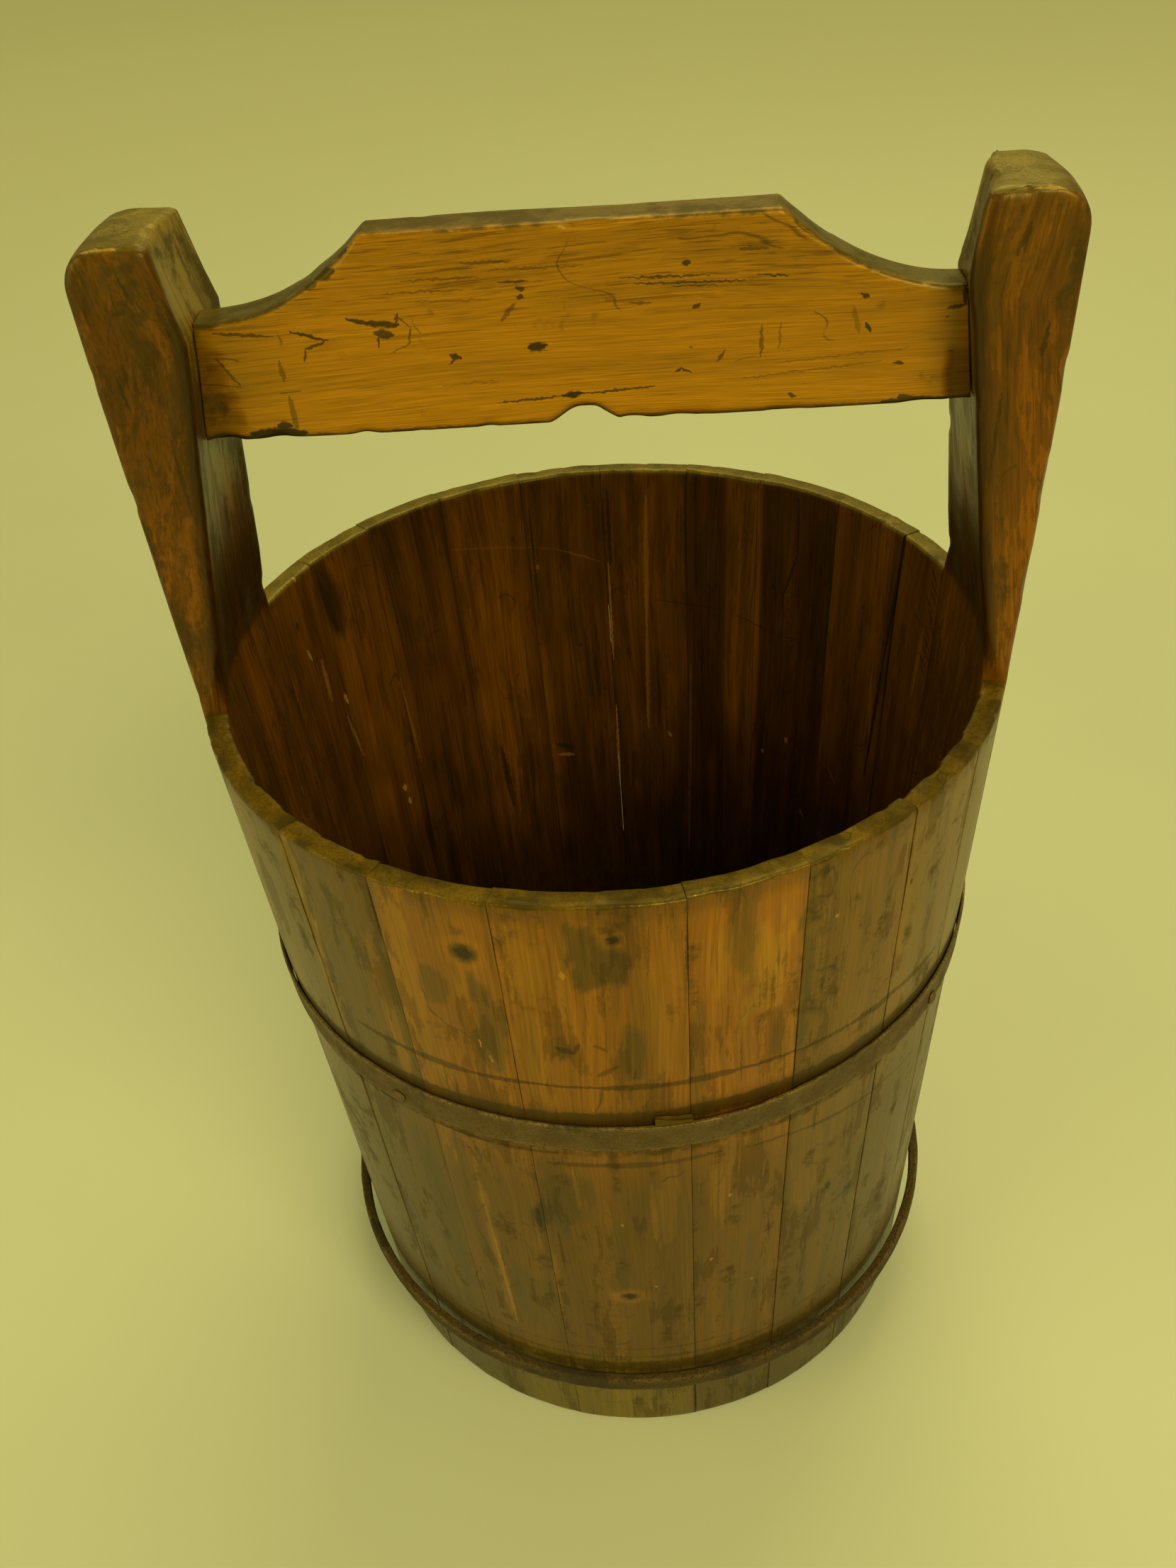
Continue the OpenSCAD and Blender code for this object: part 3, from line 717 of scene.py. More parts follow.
hoop_iron = iron("hoop_iron", tone(96, 78, 38), tone(70, 50, 16), 0.5, spacing=90, relief=0.15)
ring_iron = iron("rusty_ring", tone(84, 68, 28), tone(62, 47, 16), 0.75, spacing=90, relief=0.9, gloss=0.55,
                 spread=0.6)
nail_iron = iron("nail_iron", tone(84, 68, 34), tone(56, 42, 18), 0.5, spacing=300, relief=0.1)

# %% [markdown]
# ## The staves
#
# Each stave is split fir, hollowed inside and rounded outside, narrower at the foot than at the rim. They
# were planed flush long ago, and have since moved a few tenths of a millimetre, so the joints show as fine
# dark lines. Every stave is shaped here by the same function and given its own colour, as no two are alike.
# Patches where the oil has gone, and the knots, are painted on the mesh, which is fine enough for them.

# %% Arrises and colours of the staves
ARRIS = 0.35 * MM
RIM_ROUND = 1.7 * MM
# red, green and blue of each stave's outside, as seen on a screen
FRONT_COLOURS = [
    (112, 82, 24), (106, 76, 20), (94, 64, 12), (126, 78, 8), (124, 76, 4), (132, 80, 2), (104, 70, 10),
    (112, 78, 16), (114, 86, 28),
]
BACK_COLOURS = [
    (112, 80, 24), (104, 72, 16), (120, 80, 18), (114, 72, 12), (100, 66, 12), (120, 78, 12), (108, 74, 20),
    (118, 78, 14), (102, 70, 16), (112, 82, 26),
]
# direction, height in mm, half width in degrees, half height in mm, colour, strength
PATCHES = [
    (-133.6, 342, 1.2, 46, (136, 102, 38), 0.8), (-116.5, 325, 2.0, 75, (136, 90, 20), 0.75),
    (-108.6, 328, 0.9, 20, (138, 88, 16), 0.8), (-105.6, 315, 2.4, 30, (80, 58, 18), 0.75),
    (-112.6, 332, 2.4, 10, (78, 54, 14), 0.6), (-91.0, 357, 3.8, 17, (72, 50, 12), 0.85),
    (-96.5, 306, 2.2, 7, (82, 56, 16), 0.75), (-99.5, 330, 2.6, 60, (136, 90, 14), 0.6),
    (-84.0, 320, 2.2, 40, (132, 88, 12), 0.5), (-69.2, 330, 3.0, 30, (142, 98, 12), 0.7),
    (-75.5, 345, 1.3, 13, (142, 96, 20), 0.6), (-63.2, 320, 1.2, 70, (70, 54, 16), 0.65),
    (-113.1, 150, 0.7, 70, (132, 88, 20), 0.7), (-102.8, 128, 0.6, 24, (122, 82, 20), 0.6),
    (-122.5, 150, 2.6, 60, (64, 50, 16), 0.6), (-99.5, 205, 3.4, 26, (72, 52, 14), 0.65),
    (-91.5, 150, 2.0, 34, (74, 52, 14), 0.6), (-83.5, 196, 1.6, 30, (118, 80, 16), 0.6),
    (-75.0, 205, 1.8, 26, (120, 80, 16), 0.55), (-107.5, 110, 3.6, 26, (76, 58, 20), 0.55),
    (-71.0, 120, 3.6, 30, (80, 60, 22), 0.5), (-127.0, 330, 2.2, 40, (82, 62, 20), 0.6),
    (-121.5, 300, 1.2, 40, (132, 86, 16), 0.6), (-101.5, 350, 1.0, 24, (142, 92, 12), 0.6),
    (-94.8, 330, 0.9, 34, (142, 92, 12), 0.6), (-86.5, 300, 1.4, 16, (84, 58, 14), 0.7),
    (-78.2, 300, 1.0, 34, (92, 62, 12), 0.6), (-72.8, 355, 1.6, 18, (90, 62, 12), 0.55),
    (-66.5, 295, 1.6, 20, (88, 60, 14), 0.6), (-103.9, 186, 1.3, 12, (46, 36, 18), 0.8),
    (-50.4, 155, 2.0, 6, (60, 56, 36), 0.7), (-55.0, 169, 0.9, 4, (44, 34, 14), 0.7),
    (-60.0, 200, 3.0, 40, (122, 82, 22), 0.5),
]
print(len(PATCHES), "patches and", len(KNOTS), "knots")

# %% Paint for the outer face
def paint(colour, other, share):
    """Lays one colour over another, point by point."""
    return colour + (np.asarray(other) - colour) * share[:, None]


def outside_paint(turn, height, base, ripple, fine):
    """Colour and grime on the outer face, with painted shadow along the flat hoop's edges and above
    the heavy ring. turn in degrees, height in mm.
    """
    low = smooth(265, 200, height)
    colour = np.broadcast_to(base, (len(turn), 3)).copy()
    colour = paint(colour, tone(80, 55, 8), low * 0.75)
    from_front = np.abs(turn + 97)
    colour = paint(colour, tone(108, 90, 32), smooth(75, 48, height) * 0.7 * smooth(20, 14, from_front))
    colour = paint(colour, tone(66, 54, 18), smooth(75, 45, height) * 0.7 * smooth(14, 22, from_front))
    colour = paint(colour, tone(84, 52, 4), smooth(370, 381, height) * 0.6)
    # painted shade: a dark band just above the flat hoop, where it stands off the staves
    colour = paint(colour, tone(60, 40, 6), smooth(9, 0, np.abs(height - 262)) * 0.5)
    for at, level, half_turn, half_level, shade, strength in PATCHES:
        away = np.hypot((turn - at) / half_turn, (height - level) / half_level) + 0.4 * ripple + 0.45 * fine
        colour = paint(colour, tone(*shade), strength * smooth(1.1, 0.8, away))
    for at, level, wide, tall in KNOTS:
        away = np.hypot((turn - at) * 2.9 / wide, (height - level) / tall) + 0.15 * ripple
        colour = paint(colour, tone(146, 92, 10), 0.5 * smooth(2.3, 1.2, away))
        colour = paint(colour, tone(50, 34, 10), 0.85 * smooth(1.15, 0.75, away))
    dirt = 0.24 + 0.22 * ripple
    # grime along the flat hoop's edges and above the heavy ring, partly painted shadow in those crevices
    dirt = np.maximum(dirt, 0.72 * smooth(8, 2, np.abs(height - 261)))
    dirt = np.maximum(dirt, 0.5 * smooth(6, 2, np.abs(height - 238)))
    return colour, np.maximum(dirt, 0.6 * smooth(9, 3, np.abs(height - 57)))


# %% Paint for the inner face
# from and to direction, and how light the inside is there
INSIDE_TINTS = [
    (16, 28, 0.9), (28, 44, 1.15), (44, 59.5, 0.6), (59.5, 67, 1.4), (67, 75, 0.5), (75, 90, 0.95),
    (90, 104.5, 0.8), (104.5, 120, 1.25), (120, 134.5, 0.85), (134.5, 150, 1.1), (150, 164, 0.95),
]


def inside_paint(turn, height, number, ripple):
    """Colour on the inner face: red-brown near the rim and nearly black at the bottom."""
    tint = np.where(turn < 0, 1 + 0.3 * math.sin(number * 1.9), 1)
    for start, stop, level in INSIDE_TINTS:
        here = smooth(start - 0.3, start + 0.3, turn) * smooth(stop + 0.3, stop - 0.3, turn)
        tint = tint + (level - 1) * here
    tint = tint * (1 + 0.14 * ripple)
    colour = tint[:, None] * tone(90, 53, 4)
    colour = paint(colour, tone(34, 17, 2), smooth(310, 100, height + 25 * ripple) * 0.85)
    dent = np.hypot((turn - 148.7 - 0.05 * (height - 361)) / 2.4, (height - 361) / 24) + 0.3 * ripple
    colour = paint(colour, tone(30, 19, 3), 0.7 * smooth(1.25, 0.7, dent))
    return colour, smooth(260, 60, height) * 0.5


# %% Paint and joints of one stave
def shut_joints(side, width, degrees, height, inner):
    """Extra turn in radians that closes the joints. Three have sprung open, two of them on one face only."""
    at_side = np.abs(side / width - 0.5) > 0.49
    here = lumps(join(height, height * 0, height * 0), 16 * MM, 300)
    back_gap = (np.abs(degrees - 90.5) < 3) & (here > 0.2) & (height > 0.14) & (height < 0.32)
    front_gap = (np.abs(degrees + 47) < 2) & (inner < 0.1)
    ear_gap = (np.abs(degrees - 28) < 2) & (height > 0.2) & (inner > 0.9)
    open_by = np.where(front_gap, -0.3, np.where(ear_gap, -0.45, np.where(back_gap, 0.0, 0.14)))
    return at_side * np.sign(side - width / 2) * open_by * MM / rim_r


def paint_stave(points, width, grain, number, base, degrees, ripple, outer, inner):
    """Stain, grime and wear of a stave, with a painted highlight along the rim's outer arris and the
    painted band shadows of the outer paint. outer and inner are 1 on those faces.
    """
    side, deep, height = points.T
    fine = lumps(grain, (3.6 * MM, 9 * MM, 9 * MM), 60 + number)
    stain, dirt = outside_paint(degrees, height / MM, base, ripple, fine)
    dark_stain, dark_dirt = inside_paint(degrees, height / MM, number, ripple)
    stain = paint(stain, dark_stain, inner)
    dirt = dirt * outer + dark_dirt * inner
    rim_share = smooth(body_h - 1.8 * MM, body_h - 0.9 * MM, height)
    at_back = smooth(0, 40, degrees) * smooth(180, 140, degrees)
    at_left = smooth(-150, -170, degrees) + smooth(90, 130, degrees)
    greyed = np.clip(at_back + at_left, 0, 1)[:, None]
    rim_tone = tone(88, 64, 10) + (tone(96, 76, 30) - tone(88, 64, 10)) * greyed
    stain = paint(stain, rim_tone * (1 - 0.3 * ripple[:, None]), rim_share)
    dirt = np.maximum(dirt * (1 - rim_share), rim_share * (0.42 + 0.25 * ripple) * (1 - 0.3 * at_back))
    joint = smooth(0.5 * MM, 0.1 * MM, np.minimum(side, width - side)) * (1 - rim_share)
    dirt = np.maximum(dirt, joint * (0.5 + 0.3 * lumps(grain, (MM, MM, 25 * MM), 77)))
    slow_streaks = 1 + (0.1 + 0.25 * inner) * lumps(grain, (5 * MM, 9 * MM, 110 * MM), 31 + number)
    stain = stain * slow_streaks[:, None]
    # painted highlight along the rim's outer arris, brightest at the front, partly also wear
    edge = np.exp(-np.hypot(deep - 0.6 * MM, body_h - height - 0.6 * MM) / (0.9 * MM))
    worn = 0.5 * edge * (0.35 + 0.8 * smooth(-125, -112, degrees) * smooth(-50, -62, degrees))
    inner_edge = np.exp(-np.hypot(deep - stave_t + 0.8 * MM, body_h - height - 0.8 * MM) / (0.9 * MM))
    return stain, dirt, np.maximum(worn, 0.34 * inner_edge * at_back)


# %% Shape the staves
def make_stave(node, number, base, material):
    """One stave: a tapered block bent to the cone, with worn ends, old tool marks and its own paint."""
    start, stop = span(node)
    width = (stop - start) * rim_r
    lattice = (stations(width, 1.7 * MM, ARRIS), stations(stave_t, 2.6 * MM, RIM_ROUND),
               stations(body_h, 2.1 * MM, RIM_ROUND))
    raw, faces = block(*lattice)
    size = (width, stave_t, body_h)
    points = soften(soften(raw, size, RIM_ROUND, axes=(1, 2)), size, ARRIS, axes=(0, 1))
    side, deep, height = points.T
    grain = join(side + number * 0.31, deep + number * 0.17, height + number * 0.73)
    ripple = lumps(grain, (9 * MM, 9 * MM, 22 * MM), number)
    outer = smooth(0.5 * stave_t, 0.05 * stave_t, raw[:, 1])
    inner = smooth(0.5 * stave_t, 0.95 * stave_t, raw[:, 1])
    top = smooth(body_h - 14 * MM, body_h, raw[:, 2])
    foot = smooth(12 * MM, 0, raw[:, 2])
    turn = start + (stop - start) * side / width
    degrees = np.degrees(turn)
    stain, dirt, worn = paint_stave(points, width, grain, number, base, degrees, ripple, outer, inner)

    step = 0.15 * MM * (1 + math.sin(number * 2.4))
    tool = 0.14 * lumps(grain, (14 * MM, 30 * MM, 70 * MM), 40 + number)
    dents = 0.5 * np.clip(lumps(grain, (7 * MM, 9 * MM, 9 * MM), 80 + number) - 0.72, 0, 1)
    nibbled = 1.8 * np.clip(lumps(grain, 5 * MM, 120) - 0.35, 0, 1) * top
    inward = step + (0.14 + tool + dents + nibbled) * MM
    chipped = 2.2 * np.clip(lumps(grain, (6 * MM, 9 * MM, 9 * MM), 140) - 0.3, 0, 1) * top
    outward = (0.3 - 0.4 * lumps(grain, (16 * MM, 16 * MM, 50 * MM), 160) + chipped) * MM
    turn = turn + shut_joints(side, width, degrees, height, inner)
    radius = wall(height) - deep - inward * outer + np.maximum(outward, 0) * inner
    drop = (0.5 + 0.5 * math.sin(number * 5.1) + 0.35 * lumps(grain, 8 * MM, 200)) * MM
    height = height - top * drop + foot * (0.5 + 0.4 * lumps(grain, 9 * MM, 240)) * MM
    bent = on_circle(radius, turn, height)
    spot = join(turn * rim_r, deep, height)
    return make_piece(f"worn_{node}", bent, faces, material, "stave_wood", node, grain=grain, spot=spot,
                      stain=stain, worn=worn, dirt=dirt, figure=0.5 + 0.3 * inner)


for count, base in enumerate(FRONT_COLOURS, 1):
    node = f"front_stave_{count}"
    make_stave(node, count, tone(*base), stave_wood(f"oiled_stave_{count}", *span(node)))
for count, base in enumerate(BACK_COLOURS, 1):
    node = f"back_stave_{count}"
    make_stave(node, count + 20, tone(*base), stave_wood(f"oiled_{node}", *span(node)))

# %% [markdown]
# ## The ears
#
# The two ears are staves that were left long. Above the rim each swells inwards to carry the bar, and its
# top outer corner is rounded over. Below the rim an ear is as thin as any stave. The section changes all
# the way up, so the ear is the same kind of block, with its thickness and half width given by height.
# Hands and ropes have rounded the front inner arris of each most. The right ear is a little fuller there
# at its top, and was shaved slimmer towards its back.

# %% Ear profile
ear_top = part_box("right_ear")[1].z
bar_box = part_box("handle_bar")
ear_points = corners("right_ear")
ear_half_turn = np.abs(np.arctan2(ear_points[:, 1], ear_points[:, 0])).max()
top_ring = ear_points[ear_points[:, 2] > ear_top - MM]
ear_top_inner = np.hypot(top_ring[:, 0], top_ring[:, 1]).min()
ear_top_half = np.abs(top_ring[:, 1]).max()
CORNER = 16 * MM
bar_low = bar_box[0].z
at_bar_end = bar_low + 44 * MM
ear_inner_at_bar = wall(at_bar_end) - 37 * MM


def ear_outer(height):
    """Outer radius of an ear, rounded over at the top."""
    over = np.clip(height - (ear_top - CORNER), 0, CORNER)
    return wall(height) - CORNER + np.sqrt(np.maximum(CORNER**2 - over**2, 0))


def ear_inner(height):
    """Inner radius of an ear: the wall's below the rim, then leaning in to the bar and out again."""
    levels = [0, body_h, body_h + 12 * MM, at_bar_end - 14 * MM, at_bar_end, at_bar_end + 12 * MM, ear_top]
    radii = [wall(0) - stave_t, wall(body_h) - stave_t, wall(body_h) - stave_t - 1.6 * MM,
             ear_inner_at_bar + 1.4 * MM, ear_inner_at_bar, ear_inner_at_bar + 2.4 * MM, ear_top_inner]
    return np.interp(height, levels, radii)


def ear_half(height, radius):
    """Half width of an ear at a height and a distance from the middle of the bucket."""
    straight = rim_r * math.sin(ear_half_turn)
    tapered = np.interp(height, [body_h, ear_top], [straight, ear_top_half])
    return np.minimum(tapered, radius * math.sin(ear_half_turn))


print(f"ear: half turn {math.degrees(ear_half_turn):.1f} degrees, top half {ear_top_half / MM:.0f} mm")

# %% Paint an ear
def paint_ear(raw, height, ripple, front, inner, shaded_chamfer, turn, facing):
    """Stain, grime and painted light of an ear: painted shadow on the front inner chamfer, and inner faces
    lightened as if lit. front, inner and the chamfer's mask are 0 to 1 at each point. Heights are in mm.
    """
    up = height / MM
    colour = np.broadcast_to(tone(116, 66, 0) * (0.83 if facing < 0 else 0.99), (len(raw), 3)).copy()
    darkened = 0.75 if facing < 0 else 0.5
    colour = paint(colour, tone(86, 48, 3), smooth(430, 500, up + 26 * ripple) * darkened)
    colour = paint(colour, tone(92, 62, 18), smooth(520, 560, up + 12 * ripple) * 0.6 * (1 - 0.5 * front))
    # painted light: the ears' inner faces are lightened towards the top, as if lit
    lit_inner_tone = tone(118, 94, 50) if facing < 0 else tone(108, 84, 38)
    colour = paint(colour, lit_inner_tone, inner * smooth(480, 520, up + 10 * ripple) * 0.85)
    colour = paint(colour, tone(114, 104, 62), inner * smooth(440, 470, up) * smooth(500, 476, up) * 0.7)
    colour = paint(colour, tone(46, 24, 3), inner * smooth(460, 420, up) * 0.9)
    # painted shadow: the chamfer strip on the front inner arris is darkened, most towards its foot
    colour = paint(colour, tone(86, 46, 3), shaded_chamfer * 0.85)
    colour = paint(colour, tone(52, 27, 2), shaded_chamfer * smooth(553, 538, up) * 0.95)
    colour = paint(colour, tone(110, 90, 46), smooth(ear_top / MM - 2.5, ear_top / MM - 0.6, up) * 0.9)
    rim_at = body_h / MM
    in_below = smooth(rim_at + 4, rim_at - 4, up)
    out_below = smooth(rim_at + 25, rim_at - 70, up + 30 * ripple)
    below = in_below * inner + out_below * (1 - inner)
    low_out, low_dirt = outside_paint(turn, up, tone(110, 68, 6), ripple, ripple)
    low_in, inner_dirt = inside_paint(turn, up, 3, ripple)
    colour = paint(colour, paint(low_out, low_in, inner), below)
    clean = 1 - 0.8 * smooth(ear_top / MM - 7, ear_top / MM - 2, up)
    upper_dirt = (0.34 + 0.3 * ripple) * clean * (1 - 0.8 * shaded_chamfer)
    dirt = upper_dirt * (1 - below) + below * (low_dirt * (1 - inner) + inner_dirt * inner)
    return colour, dirt, below


# %% Shape the ears
# how far the right ear's top is fuller at its front inner arris
FULLER = 4.5 * MM


def make_ear(node, number, facing):
    """One ear. facing is 1 for the right ear and -1 for the left one."""
    lattice = (stations(1, 0.026, 0.06), stations(1, 0.07, 0.1), stations(ear_top, 2.3 * MM, 2.4 * MM))
    raw, faces = block(*lattice)
    height = raw[:, 2]
    thick = ear_outer(height) - ear_inner(height)
    half = ear_half(height, ear_outer(height) - 0.5 * thick)
    size = (2 * half, thick, ear_top)
    above = smooth(body_h - 4 * MM, body_h + 14 * MM, height)
    is_front = raw[:, 0] < 0.5 if facing > 0 else raw[:, 0] > 0.5
    chamfered = is_front & (raw[:, 1] > 0.5)
    arris = (0.5 + np.where(chamfered, 3.8, 2.0) * above) * MM
    squared = join(raw[:, 0] * size[0], raw[:, 1] * thick, height)
    points = soften(squared, size, arris)
    side, deep, height = points.T
    grain = join(side + number * 0.31, deep + number * 0.17, height + number * 0.73)
    grain[:, 1] += ear_inner(height) + thick.max() - ear_outer(height)
    ripple = lumps(grain, (8 * MM, 8 * MM, 30 * MM), number)
    shape = lumps(grain, (22 * MM, 22 * MM, 60 * MM), number + 5)
    share = deep / thick
    radius = ear_outer(height) * (1 - share) + ear_inner(height) * share
    turned = np.arcsin(np.clip((side / half - 1) * ear_half(height, radius) / radius, -1, 1))
    edge_side = half - np.abs(side - half)
    edge_deep = np.minimum(deep, thick - deep)
    near_edge = np.exp(-np.hypot(edge_side, edge_deep) / (3.5 * MM)) * above
    nibble = np.clip(lumps(grain, (6 * MM, 6 * MM, 12 * MM), number + 9) - 0.3, 0, 1) * near_edge
    outwards = np.clip((thick / 2 - deep) / (0.3 * thick), -1, 1)
    radius = radius - above * ((0.2 + 0.25 * shape) * MM + 2.6 * MM * nibble) * outwards
    if facing > 0:
        within = smooth(0.5, 1, raw[:, 1])
        radius = radius - FULLER * within * smooth(0.5, 0, raw[:, 0]) * smooth(518 * MM, 548 * MM, raw[:, 2])
        shaved = (2 + 4.5 * smooth(490 * MM, 530 * MM, raw[:, 2])) * MM * above
        radius = radius + shaved * within * smooth(0.68, 1, raw[:, 0])
    across = radius * np.sin(turned) * (1 - above * (0.006 + 0.01 * shape))
    top_wave = 0.5 * MM * (1 + lumps(grain, (12 * MM, 12 * MM, 90 * MM), 9))
    top_wave = top_wave * smooth(ear_top - 4 * MM, ear_top, raw[:, 2])
    bent = join(facing * radius * np.cos(turned), facing * across, height - top_wave)

    front = smooth(0.06, 0.0, raw[:, 0] if facing > 0 else 1 - raw[:, 0])
    inner = smooth(0.6, 0.95, raw[:, 1]) * (1 - 0.9 * front)
    from_arris = np.hypot(edge_side - 0.6 * MM, edge_deep - 0.6 * MM) / (4.8 * MM)
    shaded_chamfer = np.exp(-(from_arris**4)) * chamfered * above
    turn = np.degrees(np.arctan2(bent[:, 1], bent[:, 0]))
    colour, dirt, below = paint_ear(raw, height, ripple, front, inner, shaded_chamfer, turn, facing)
    # painted highlight along the top front arris, partly also wear
    top_wear_and_glint = np.exp(-np.hypot(edge_side - 0.8 * MM, ear_top - height - 0.8 * MM) / (1.1 * MM)) * is_front
    worn = np.clip(0.75 * top_wear_and_glint + 0.3 * near_edge * (1 - shaded_chamfer), 0, 1) * (1 - below)
    flat = join(side - half, np.where(front > 0.5, 0, deep + 3 * MM), height)
    in_thickness = join(deep - thick / 2, np.where(front > 0.5, 0, 9 * MM), height)
    spot = np.where((above > 0.5)[:, None], in_thickness, flat)
    return make_piece(f"worn_{node}", bent, faces, ear_wood, "ear_wood", node, grain=grain, spot=spot,
                      stain=colour, worn=worn, dirt=dirt, figure=1.0 + 0 * worn)


make_ear("right_ear", 41, 1)
make_ear("left_ear", 44, -1)

# %% [markdown]
# ## The handle bar
#
# The bar was sawn from a plank: a raised middle for the hand, hollow shoulders, and a small notch below
# where a rope or hook finds the balance. Its ends follow the slope of the ears. The hand has rubbed its top
# front arris round and shiny, and the pale line along it is partly that wear and partly a painted
# highlight. The lower arris is chipped and black.

# %% Bar outline
BAR_T = 20 * MM
FLAT_HALF = 75 * MM
NOTCH_HALF = 14 * MM
NOTCH_H = 6 * MM
bar_top = max(corners("handle_bar")[:, 2])
bar_end_x = ear_inner_at_bar


def bar_upper(x):
    """Top of the bar: flat in the middle, with hollow shoulders. The left one is a little higher."""
    share = np.clip((np.abs(x) - FLAT_HALF) / (bar_end_x - FLAT_HALF), 0, 1)
    return at_bar_end + (bar_top - at_bar_end) * (1 - share) ** 2 + 2 * MM * smooth(-100 * MM, -138 * MM, x)


def bar_lower(x):
    """Bottom of the bar, with its notch."""
    return bar_low + NOTCH_H * smooth(NOTCH_HALF, 1.5 * MM, np.abs(x - 1 * MM)) ** 0.8


# %% Paint and shape the bar
def paint_bar(x, y, z, grain, ripple, on_back, left_facet, right_facet):
    """Stain, wear, grime and painted light of the bar: a painted highlight on the top front arris, and
    painted shade in the trimmed end facets. The facets are 1 where its ends were trimmed on the front.
    """
    across, up = x / MM, z / MM
    colour = np.broadcast_to(tone(156, 103, 0), (len(x), 3)).copy()
    colour = paint(colour, tone(136, 94, 6), smooth(-96, -134, across + 10 * ripple) * 0.7)
    colour = paint(colour, tone(138, 92, 4), smooth(112, 140, across + 10 * ripple) * 0.6)
    colour = paint(colour, tone(140, 92, 2), smooth(522, 552, up + 6 * ripple) * 0.7)
    colour = paint(colour, tone(176, 118, 0), smooth(512, 494, up + 5 * ripple) * 0.5)
    # painted shade: the trimmed end facets are darkened, partly dark rubbed wood and partly the shade they
    # lie in
    colour = paint(colour, tone(84, 52, 6), np.clip(left_facet * 0.9 + right_facet, 0, 1) * 0.75)
    on_top = smooth(0.3 * MM, -1.4 * MM, bar_upper(x) - z - 2 * MM)
    colour = paint(colour, tone(66, 42, 5), on_top * smooth(-0.48, -0.2, y / BAR_T) * 0.9)
    colour = paint(colour, tone(72, 60, 22), on_top * smooth(76, 84, np.abs(across)) * 0.7)
    under = smooth(3.4 * MM, 0.4 * MM, z - bar_lower(x) + 0.8 * MM * ripple)
    colour = paint(colour, tone(34, 22, 4), under * 0.8)
    colour = paint(colour, tone(116, 74, 10), on_back * 0.7)
    # painted highlight along the top front arris, partly also wear from the hand
    brow = np.hypot(bar_upper(x) - z - 1.0 * MM, y + BAR_T / 2 - 1.0 * MM)
    broken = 0.7 + 0.5 * lumps(grain, (3 * MM, 3 * MM, 7 * MM), 17)
    worn = np.clip(0.8 * broken * np.exp(-brow / (0.7 * MM)), 0, 1)
    dirt = np.clip(0.12 + 0.2 * ripple + 0.3 * left_facet + 0.5 * under + 0.35 * on_top, 0, 1)
    return colour, worn, dirt


def make_bar():
    """The handle bar, from a block that is longest in X."""
    lattice = (stations(2 * bar_end_x, 1.25 * MM, 1.2 * MM), stations(BAR_T, 1.8 * MM, 1.6 * MM),
               stations(1, 0.0185, 0.03))
    raw, faces = block(*lattice)
    x = raw[:, 0] - bar_end_x
    tall = bar_upper(x) - bar_lower(x)
    size = (2 * bar_end_x, BAR_T, tall)
    squared = join(raw[:, 0], raw[:, 1], raw[:, 2] * tall)
    front = raw[:, 1] < BAR_T / 2
    upper = raw[:, 2] > 0.5
    round_over = np.where(upper & front, 2.4, np.where(upper, 1.8, 1.2)) * MM
    points = soften(squared, size, round_over, axes=(1, 2))
    x = points[:, 0] - bar_end_x
    y = points[:, 1] - BAR_T / 2
    z = points[:, 2] + bar_lower(x)
    grain = join(z, y, x) + np.array([3.1, 0, 5.3])
    ripple = lumps(grain, (7 * MM, 7 * MM, 20 * MM), 3)
    on_front = smooth(-0.25 * BAR_T, -0.45 * BAR_T, y)
    on_back = smooth(0.25 * BAR_T, 0.45 * BAR_T, y)

    left_edge = (-125 * MM - x) - (z - bar_low) * 0.26 + 3 * MM * ripple
    left_edge = left_edge + 3 * MM * lumps(grain, (3 * MM, 3 * MM, 5 * MM), 19)
    left_facet = smooth(-1 * MM, 9 * MM, left_edge) * on_front
    right_facet = smooth(-1 * MM, 2 * MM, x - 133.5 * MM + MM * ripple) * on_front
    right_facet = right_facet * smooth(512 * MM, 500 * MM, z)
    wave = lumps(grain, (26 * MM, 26 * MM, 45 * MM), 6)
    from_ends = np.minimum(z - bar_lower(x), bar_upper(x) - z)
    edge = np.exp(-np.hypot(from_ends, BAR_T / 2 - np.abs(y)) / (2 * MM))
    nibble = np.clip(lumps(grain, (4 * MM, 4 * MM, 9 * MM), 12) - 0.15, 0, 1) * edge
    bite = np.exp(-(((x + 84 * MM) / (4 * MM)) ** 2))
    bite = bite + np.exp(-(((x + 117 * MM) / (5 * MM)) ** 2)) * (z < 510 * MM)
    inset = (0.2 + 0.22 * wave + 2.2 * nibble + 1.4 * bite * edge) * MM
    inset = inset + left_facet * 1.5 * MM + 0.8 * MM * right_facet
    y = y - np.sign(y) * inset * smooth(0, 0.3 * BAR_T, np.abs(y))
    middle = (bar_upper(x) + bar_lower(x)) / 2
    sag = (0.25 + 0.25 * wave + 1.5 * nibble + 0.8 * bite * edge) * MM
    z = z - np.sign(z - middle) * sag * smooth(0.2, 0.5, np.abs(raw[:, 2] - 0.5))

    reach = np.sqrt(np.maximum(ear_inner(z) ** 2 - y**2, 0)) - 0.2 * MM
    ends = smooth(bar_end_x - 26 * MM, bar_end_x, np.abs(x))
    x = x + np.sign(x) * ends * (reach - bar_end_x)

    colour, worn, dirt = paint_bar(x, y, z, grain, ripple, on_back, left_facet, right_facet)
    bent = join(x, y, z)
    spot = join(x, np.where(on_front > 0.3, 0, 9 * MM), z)
    return make_piece("worn_handle_bar", bent, faces, bar_wood, "bar_wood", "handle_bar", grain=grain,
                      spot=spot, stain=colour, worn=worn, dirt=dirt,
                      figure=0.3 + 0.7 * smooth(518 * MM, 540 * MM, z))


bar = make_bar()
print("bar faces:", len(bar.data.polygons))

